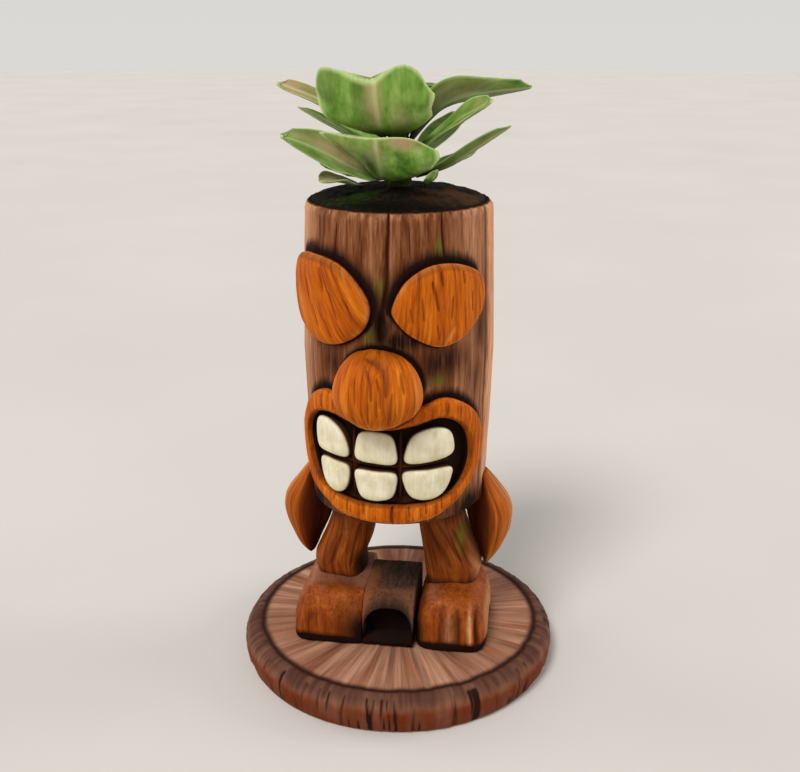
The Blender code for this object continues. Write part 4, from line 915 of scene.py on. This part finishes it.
def build_feet():
    turn = turns(220)
    bottom = BASE_TOP + GAP
    for side, label in SIDES:
        right = side > 0
        low, high = box_mm(label + "_foot")
        under = [(0, inset) for inset in (17, 14, 10, 6, 3)]
        over = [(1 + 0.004 * k, 11.5 + 0.6 * k) for k in range(1, 10)]
        layers = np.vstack([under, along(FOOT_LAYERS, np.linspace(0, 1, 74)), over])
        part, inset = layers[:, :1], layers[:, 1:]
        joined = (not right) * rise(-0.25, 0.35, np.cos(turn))
        x, y = superellipse(low[0] + inset, high[0] - inset, low[1] + inset, high[1] - 0.6 * inset,
                            5.5 + 12 * joined, turn)
        x = x + (high[0] - x) * joined * rise(0.35, 0.9, np.cos(turn)) * rise(11, 8, inset)
        z = bottom + part * (high[2] - bottom) * np.ones(x.shape)
        middle = (low[0] + high[0]) / 2
        flow = xyz(x, y, z)
        medium, broad = grains(flow, (1.6, 16), (6, 14), 151)
        grooves, ridges = np.zeros(x.shape), np.zeros(x.shape)
        if right:
            bent = x + 0.006 * (z - 30) * (x - 34)
            for groove in TOE_GROOVES:
                grooves = most(grooves, bell(bent, groove, 1.1))
                ridges = most(ridges, bell(bent, groove - 3.4, 1) * (groove > TOE_GROOVES[0]))
        toes = rise(-20, -30, y) * rise(21, 25, z) * rise(high[2], high[2] - 12, z)
        lift = 0.3 * medium + 0.55 * broad + (0.5 * ridges - 1.5 * grooves) * toes
        x, y = pushed(x, y, middle, -8, lift * rise(0, 0.1, part) * rise(1.03, 0.97, part))
        z = z + 0.25 * broad * (part > 0.9)
        inner = rise(-8, -17, x - middle) if right else rise(middle - 4, high[0] + 1, x)
        sole = rise(bottom + 7, bottom + 2.4, z + 0.8 * medium)
        top = rise(0.8, 0.96, part)
        # Painted shade on the inner side by the bridge; darker towards the bottom, along the top and in the
        # toe grooves
        dark = most(0.97 * sole, inner * most(0.85 * rise(47, 27, z), 0.35 * (1 - top)),
                    0.3 * rise(0.92, 1, part) * (0.7 + 0.6 * inner), 0.45 * grooves * toes)
        edge = right * rise(15, 17.5, x - middle) * rise(-34, -24, y)
        # Tint is a painted highlight on the feet's tops
        tint = top * (0.85 * (not right) * rise(-26, -18, y) + 0.45 * right * rise(0, -12, x - middle))
        # Pale: painted highlights on the toe ridges and the right foot's outer edge, with lighter grain
        carve(label + "_foot", "foot", xyz(x, y, z), flow, dark=dark, tint=tint,
              pale=(0.95 * ridges * toes + 0.3 * rise(0.4, 0.9, broad) + 0.6 * edge) * (1 - sole),
              gouge=most(0.8 * grooves * toes, 0.5 * rise(0.25, 0.7, -medium)))


def build_bridge():
    """Dark block between the feet, hollowed at the front below an arch."""
    low, high = box_mm("foot_bridge")
    section = refined(BRIDGE_SIDE + BRIDGE_SIDE[:1], 0.36, 0.6)[:-1]
    u = np.linspace(0, 1, 90)[:, None]
    x, y, z = np.broadcast_arrays(low[0] + (high[0] - low[0]) * u, section[:, 0], section[:, 1])
    flow = xyz(0.3 * z, 0.3 * y, 1.6 * x)
    rough = grain(flow, 2.6, 12, 171, 3)
    arch = 22.6 + 15.6 * unit(1 - np.abs(2 * u - 1) ** 3) ** (1 / 2.4)
    front = (y < -28) & (z > 22)
    hollow = front * rise(0.7, -0.7, z - arch + 0.5 * rough)
    left = rise(0.42, 0, u) * np.ones(x.shape)
    edge = rise(0, 0.04, u) * rise(1, 0.96, u)
    y, z = pushed(y, z, -11, 31, 0.45 * rough * edge * (z > 21))
    y = y + 11 * hollow
    front_edge = rise(-17, -27, y) * rise(29, 39, z)
    shade = most(hollow, rise(9, -1, z - arch) * (y < -26) * (0.8 + 0.15 * u))
    # Grey-brown tones: char, with painted shade from the log above
    finish = char("bridge_finish", ((56, 40, 32), (76, 56, 46), (92, 70, 58), (116, 88, 72)),
                  (20, 8, 4), (44, 13, 5), (138, 80, 46))
    # Painted shade in and above the hollow and over the right of the top; lighter along the top front edge
    # and at the left end
    dark = most(0.97 * shade, 0.35 * rise(20, -8, y) * rise(-26, -16, y) * (1 - left))
    pale = (1 - shade) * most(left * rise(28, 38, z) * rise(8, -12, y), 0.48 * front_edge)
    make("bridge_carved", "figure", "charred_wood", finish, xyz(x, y, z), flow, "foot_bridge",
         dark=dark, tint=rise(24, 22.4, z) * (y < -28), pale=pale)


def build_arms():
    turn = turns(160)
    for side, label in SIDES:
        z, inner, outer, half_depth = stacked(ARM_STATIONS, 130)
        low, high, middle = sides(side, inner, outer)
        back = ARM_CENTRE_Y + half_depth
        x, y = superellipse(low, high, ARM_CENTRE_Y - half_depth, back, 2.3, turn)
        z = z * np.ones(x.shape)
        inwards = (outer - side * x) / (outer - inner)
        y = y + (back - y) * unit(inwards - 0.35) / 0.65 * 0.62
        flow = spun(13, z, turn) + (0, 0, 60 * side)
        medium, broad = grains(flow, (1.6, 17), (6, 18), 191)
        fade = rise(52.6, 58, z) * rise(103, 98, z)
        x, y = pushed(x, y, middle, ARM_CENTRE_Y, (0.3 * medium + 0.5 * broad) * fade)
        log_side = np.where(z > TRUNK_BOTTOM - 0.2, trunk_radius(z) + 0.15, 0)
        clear = most(log_side / np.hypot(x, y), 1)
        front = rise(4, -3, y)
        palm = rise(0.3, 0.52, inwards + 0.05 * medium) * front
        # Painted shade in the cupped palm, on the inner side and at the lower end, also carried by gouge;
        # the pale outer edge is a painted highlight
        dark = most(palm * (0.5 + 0.35 * rise(0.4, 0.8, inwards)), 0.6 * rise(0.55, 0.9, inwards),
                    0.5 * rise(58, 53, z))
        carve(label + "_arm", "arm", xyz(x * clear, y * clear, z), flow,
              dark=dark, tint=0.8 * bell(z, 58, 2.8) * front * (side > 0) * rise(0.7, 0.3, inwards),
              pale=0.6 * rise(0.1, 0, inwards) * (0.7 + 0.4 * medium) + 0.3 * rise(0.4, 0.9, broad),
              gouge=most(0.55 * rise(0.25, 0.7, -medium), 0.6 * palm))


# ---- base, liner and crown

def lathe(profile, count):
    """Radius, height and turn of a lathed grid, all (rows, count)."""
    return np.broadcast_arrays(profile[:, :1], profile[:, 1:], turns(count))


def from_front(turn):
    """Degrees from the front, positive to the viewer's right, of a turn that starts at +X."""
    return np.degrees(np.arctan2(np.cos(turn), -np.sin(turn)))


def spun(radius, z, turn):
    """Points (..., 3) from a distance from the Z axis, a height and a turn in radians."""
    return xyz(radius * np.cos(turn), radius * np.sin(turn), z)


def build_base():
    rim, pad_edge, recess = WOOD_BOTTOM, PAD_RADIUS + GAP, PAD_TOP + GAP
    flat, foot = BASE_FLAT_RADIUS, BASE_FOOT_RADIUS
    under = refined([(1, recess), (pad_edge, recess), (pad_edge, rim), (foot, rim)], 6)[:-1]
    side = refined([(foot, rim), (79, rim + 2.1), (BASE_RADIUS, rim + 8.3), (BASE_RADIUS - 0.2, rim + 11.9),
                    (78.2, BASE_TOP - 3), (74.4, BASE_TOP - 0.8), (flat, BASE_TOP)], 0.7, 0.5)
    top = refined([(flat, BASE_TOP), (1, BASE_TOP)], 0.9)[1:]
    profile = np.vstack([under, side, top])
    lengths = np.concatenate([[0], np.cumsum(np.linalg.norm(np.diff(profile, axis=0), axis=1))])
    r, z, turn = lathe(profile, BASE_COLUMNS)
    polar = spun(80, lengths[:, None] * np.ones(r.shape), turn)
    upper = rise(BASE_TOP - 0.4, BASE_TOP - 0.1, z)
    edge = rise(74, 77.5, r) * (z > rim + 0.2)
    wrinkle, bark = grain(polar, 6.5, 46, 211, 2), grain(polar, 2.6, 26, 227, 3)
    patch = grain(polar, 10, 40, 229)
    ring = bell(r + 0.5 * wrinkle, flat, 1.9) * (z > BASE_TOP - 2)
    swell = upper * rise(8, 40, r) * rise(73, 70, r) * (0.5 * wrinkle + 0.12 * bark - 0.25)
    angle = from_front(turn) + 0.5 * wrinkle
    seams = most(*(bell(angle, place, width) for place, width in BARK_SEAMS))
    seams = seams * rise(0.5, -0.3, bark) * rise(rim + 15, rim + 8, z)
    bevel = rise(70.8, 72.4, r) * rise(rim + 9, rim + 16.5, z + 2.2 * patch + 1.2 * bark)
    streak = rise(0.05, 0.6, -bark - 0.3 * wrinkle)
    wall = edge * (1 - bevel)
    # The wall term is painted shade on the upright side
    dark = most(0.75 * ring, 0.25 * bevel, edge * most(0.6 * seams, 0.9 * streak),
                0.42 * rise(0, 0.9, -wrinkle) * upper, 0.34 * wall)
    relief = edge * (0.6 * bark + 0.25 * wrinkle - 0.4 * seams - 0.25)
    pale = 0.45 * rise(0, 0.6, wrinkle) * upper
    # Painted highlight along the side's bottom edge
    pale = pale + edge * most(0.8 * rise(rim + 2, rim + 0.9, z), 0.22 * rise(0.3, 0.9, bark))
    carve("base_disc", "base", spun(r + relief, z + swell - 0.4 * ring, turn), polar, "base_wood",
          dark=dark, tint=0.5 * rise(0.1, 0.6, patch) * upper + wall * (1.1 + 0.4 * patch), pale=pale,
          gouge=most((0.8 + 0.4 * bark) * bevel, 0.75 * ring))


def build_lid():
    low, high = box_mm("crown_lid")
    seat = box_mm("liner_cup")[1][2] + 0.4
    spigot, edge, hole = SPIGOT_RADIUS, LID_RADIUS, STEM_HOLE_RADIUS
    profile = refined([(0.8, low[2]), (spigot - 1, low[2]), (spigot, low[2] + 1), (spigot, seat),
                       (edge, seat), (edge, seat + 1.6), (38.6, seat + 3.3), (32, seat + 5.4),
                       (21, seat + 6.9), (9, high[2]), (hole, high[2]), (hole, STEM_HOLE_BOTTOM),
                       (0.8, STEM_HOLE_BOTTOM)], 0.8, 0.3)
    r, z, turn = lathe(profile, 400)
    flow = spun(r, z, turn)
    top = rise(seat + 1.2, seat + 3, z) * rise(6.4, 9, r)
    clods, lumps = grain(flow, 3.2, 3.2, 251, 3), grain(flow, 9, 9, 257)
    angle = from_front(turn)
    green = 0.8 * bell(angle, -32, 26) * rise(12, 22, r) * rise(-0.3, 0.4, clods)
    # A painted highlight: a brown patch on the right of the lid's top
    brown_highlight = bell(angle, 80, 45) * rise(10, 24, r) * rise(-0.4, 0.3, lumps)
    finish = char("lid_finish", ((9, 6, 4), (17, 12, 8), (32, 22, 15), (54, 39, 28)),
                  (6, 4, 2), (36, 70, 12), (84, 58, 40))
    relief = top * (0.45 * clods + 0.9 * lumps - 0.4) * rise(edge, 37, r)
    make("lid_charred", "crown", "charred_wood", finish, spun(r, z + relief, turn), flow, "crown_lid",
         dark=0.85 * rise(-26, -37, flow[..., 1]) * top, tint=0.75 * green * top, pale=0.85 * brown_highlight * top)


def build_stem():
    profile = refined([(0.5, 236.3), (6, 236.3), (6, 246), (5.4, 256), (4.6, 266), (3.4, 270.5),
                       (1.5, 271.8), (0.4, 272)], 0.7, 0.3)
    r, z, turn = lathe(profile, 90)
    flow = spun(r, z, turn)
    scars = np.abs(np.sin(z * 0.9 + 1.5 * np.cos(turn)))
    shown = rise(240, 243, z) * rise(1, 4, r)
    finish = char("stem_finish", ((22, 22, 10), (34, 38, 14), (46, 54, 22), (66, 72, 34)),
                  (14, 11, 6), (40, 66, 18), (84, 80, 48))
    relief = shown * (0.28 * grain(flow, 1.4, 5, 263) + 0.25 * scars - 0.2)
    make("stem_scarred", "crown", "plant_stem", finish, spun(r + relief, z, turn), flow, "plant_stem",
         dark=0.6 * rise(0.25, 0, scars), tint=0.3, pale=0.2 * scars)


def build_liner():
    low, high = box_mm("liner_cup")
    outer, lip, lip_bottom = LINER_RADIUS, LINER_LIP_RADIUS, LINER_LIP_BOTTOM
    inner, floor = outer - LINER_WALL, low[2] + LINER_WALL
    profile = refined([(0.8, low[2]), (outer - 1, low[2]), (outer, low[2] + 1), (outer, lip_bottom),
                       (lip, lip_bottom), (lip, high[2]), (inner, high[2]), (inner, floor + 1.1),
                       (inner - 1.1, floor), (0.8, floor)], 2, 0.35)
    r, z, turn = lathe(profile, 256)
    beads = (bell(z, 222, 0.9) + bell(z, 216, 0.9)) * (r > 30)
    finish = steel("liner_steel_finish", Finish.flow, ((168, 168, 164), (192, 192, 188), (214, 214, 210)),
                   (0.05, 0.05, 6))
    make("liner_brushed", "liner", "liner_steel", finish, spun(r - 0.35 * beads, z, turn), spun(r, z, turn),
         "liner_cup")


def build_leaf(number, label, azimuth, roll, rib, left, right=None, ends=BLUNT, cup=0.22):
    """A closed blade. Its columns run over the top to the right edge and back below."""
    name = "leaf_" + label
    right = right or left
    big = max(left + right) > 18
    rows, half = (96, 84) if big else (70, 36)
    v = -np.cos(np.linspace(0, math.pi, half))
    v = np.concatenate([v, v[-2:0:-1]])
    upper = np.concatenate([[0], np.ones(half - 2), [0], -np.ones(half - 2)])
    t = np.linspace(0, 1, rows)[:, None]
    place = unit(t * along(ends, (v + 1) / 2)[:, 0])
    turn, lean = math.radians(azimuth), math.radians(roll)
    out, side = xyz(math.sin(turn), -math.cos(turn), 0), xyz(math.cos(turn), math.sin(turn), 0)

    def rib_point(at):
        radial = along(rib, at)
        return radial[..., :1] * out + radial[..., 1:] * (0, 0, 1)

    tangent = direction(rib_point(unit(place + 0.03)) - rib_point(unit(place - 0.03)))
    across_way = direction(side * math.cos(lean) - np.cross(tangent, side) * math.sin(lean))
    up = np.cross(tangent, across_way)
    wide = np.where(v < 0, along(left, place)[..., 0], along(right, place)[..., 0])
    if not big:
        wide = wide * (1 - 0.35 * rise(0.86, 1, place))
    nick = lattice_noise(xyz(place * 9, 3 * np.sign(v), 0), 300 + number)
    wide = wide * (1 + (0.1 if "jagged" in label else 0.045) * nick * np.abs(v))
    across = v * wide
    flow = xyz(across, 9 * number, place * 45)
    swell = lattice_noise(flow / (7, 7, 9), 330 + number)
    frill = np.sin(place * 13 + 2 * number + 1.5 * v) * v ** 2 * rise(0.2, 0.7, place)
    lobes = (1.5 if big else 0.35) * np.sin(np.pi * np.abs(v)) * rise(0.2, 0.6, place)
    rib_line = bell(across, 0, 1)
    veins = np.sin(place * 60 - np.abs(across) * 1.1) * rise(1, 3, np.abs(across))
    relief = 0.04 * veins * (1 - v ** 4) - 0.3 * rib_line + 0.1 * grain(flow, 1.2, 14, 360)
    thick = (2.1 if big else 1.7) * (0.5 - 0.175 * t) * np.sqrt(unit(1 - np.abs(v) ** 3))
    thick = thick * (np.sqrt(unit(1 - t ** 14)) * 0.92 + 0.08)
    bend = cup * v * v * wide + 0.05 * wide * frill + 0.35 * swell - lobes
    bend = bend + upper * (thick + 0.8 * relief * rise(0.1, 0.25, place))
    tail = rise(0.955, 1, t) * (0.9 if big else 0.7)
    # Painted shade towards the root, at the listed spots and in dips
    dark = rise(0.34, 0.06, place) + spots(v, place, LEAF_SHADE.get(label, ()))
    dark = dark + 0.22 * rise(0.25, 0.6, -swell) * rise(0.8, 0.3, place)
    # The pale rim and tip are partly painted highlight, partly wear
    pale = 0.85 * most(rise(0.9, 0.99, np.abs(v)), tail) + 0.5 * rib_line * rise(0.2, 0.5, place)
    olive = 0.15 + 0.3 * math.sin(2.4 * number + 0.5) + 0.35 * rise(0.2, -0.7, swell)
    olive = np.clip(olive + 0.5 * (label in DARK_LEAVES), 0, 0.9)
    make(name + "_blade", "crown", "leaf", LEAF_FINISH,
         rib_point(place) + across_way * across[..., None] + up * bend[..., None], flow, name,
         dark=dark, tint=spots(v, place, BLUSH.get(label, USUAL_BLUSH)), pale=pale, gouge=olive)


def dress_hidden_parts():
    """Gives the CAD nodes that stay, all inside or underneath, their finishes."""
    finishes = {
        "base_screw": steel("screw_steel_finish", lambda f: f.node("TexCoord").outputs["Object"],
                            ((120, 120, 116), (158, 158, 154), (190, 190, 186)), (900, 900, 300)),
        "_dowel": object_finish("dowel_wood_finish", ((176, 132, 84), (204, 160, 108), (222, 184, 136)),
                                (500, 500, 40), (0.55, 0.75), 0.4),
        "felt_pad": object_finish("felt_finish", ((18, 30, 20), (30, 46, 32), (46, 64, 46)),
                                  (1500, 1500, 1500), (0.85, 0.98), 0.8),
    }
    for name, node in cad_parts.items():
        for part, material in finishes.items():
            if part in name:
                node.data.materials.clear()
                node.data.materials.append(material)


# ---- stage

FLOOR_RADIUS = 8
FLOOR_SIDES = 64
LIGHT_TARGET = (0, 0, 0.14)
# Soft suns: name, place in metres, power, colour, apparent size in radians
LIGHTS = (("key", (-0.28, -0.72, 1.15), 2.1, (1, 0.97, 0.93), 0.35),
          ("rim_left", (-0.75, 0.22, 0.4), 0.7, (1, 0.95, 0.9), 0.5),
          ("rim_right", (0.75, 0.22, 0.4), 1.1, (1, 0.95, 0.9), 0.5))
# The camera that was fitted to the photograph's ellipses: metres, millimetres for the lens, radians
CAMERA_DISTANCE, CAMERA_HEIGHT, CAMERA_LENS = 0.483465, 0.310557, 46.93
CAMERA_AZIMUTH, CAMERA_PITCH, CAMERA_SHIFT = math.radians(8), 0.33168, 0.001875


def build_stage():
    f = Finish("floor_finish")
    where = f.node("TexCoord").outputs["Object"]
    cloud = f.noise(where, (3, 3, 3), 3, 0.5)
    grit = f.noise(where, (240, 240, 240), 3, 0.6)
    colour = f.ramp(cloud, (0.3, (206, 203, 199)), (0.7, (212, 209, 205)))
    f.finish(colour, f.ramp(grit, (0.3, 0.72), (0.7, 0.85)), grit, 0.05, 0.0003, 0.3)
    mesh = bpy.data.meshes.new("floor")
    mesh.from_pydata(spun(FLOOR_RADIUS, 0, turns(FLOOR_SIDES)).tolist(), [], [list(range(FLOOR_SIDES))])
    mesh.materials.append(f.material)
    added("floor", mesh)


def build_lights():
    for name, place, power, colour, angle in LIGHTS:
        data = bpy.data.lights.new(name, "SUN")
        data.energy, data.color, data.angle = power, colour, angle
        lamp = added(name, data)
        lamp.location = place
        lamp.rotation_euler = (Vector(LIGHT_TARGET) - Vector(place)).to_track_quat("-Z", "Y").to_euler()
    world = bpy.data.worlds.new("studio")
    world.use_nodes = True
    tree = world.node_tree
    split = tree.nodes.new("ShaderNodeSeparateXYZ")
    fade = tree.nodes.new("ShaderNodeMapRange")
    tree.links.new(tree.nodes.new("ShaderNodeTexCoord").outputs["Generated"], split.inputs[0])
    tree.links.new(split.outputs["Z"], fade.inputs["Value"])
    for socket, value in (("From Min", 0), ("From Max", 1), ("To Min", 0.71), ("To Max", 0.3)):
        fade.inputs[socket].default_value = value
    back = tree.nodes["Background"]
    back.inputs["Color"].default_value = (1, 0.975, 0.95, 1)
    tree.links.new(fade.outputs["Result"], back.inputs["Strength"])
    bpy.context.scene.world = world


def build_camera():
    data = bpy.data.cameras.new("camera")
    data.sensor_width, data.lens = 36, CAMERA_LENS
    data.shift_x, data.clip_start = CAMERA_SHIFT, 0.01
    camera = added("camera", data)
    camera.location = (CAMERA_DISTANCE * math.sin(CAMERA_AZIMUTH),
                       -CAMERA_DISTANCE * math.cos(CAMERA_AZIMUTH), CAMERA_HEIGHT)
    camera.rotation_euler = (math.pi / 2 - CAMERA_PITCH, 0, CAMERA_AZIMUTH)
    bpy.context.scene.camera = camera
    bpy.context.scene.view_settings.view_transform = "Standard"


LEAF_FINISH = leaf_finish()
build_log()
build_eye("right_eye", RIGHT_EYE, 0, RIGHT_EYE_CUTS, RIGHT_EYE_CHIPS)
build_eye("left_eye", LEFT_EYE, 24, LEFT_EYE_CUTS)
for build in (build_mouth, build_teeth, build_nose, build_legs, build_feet, build_bridge, build_arms,
              build_base, build_lid, build_stem, build_liner):
    build()
for index, (leaf_label, shape) in enumerate(LEAVES.items()):
    build_leaf(index, leaf_label, *shape)
for build in (dress_hidden_parts, build_stage, build_lights, build_camera):
    build()
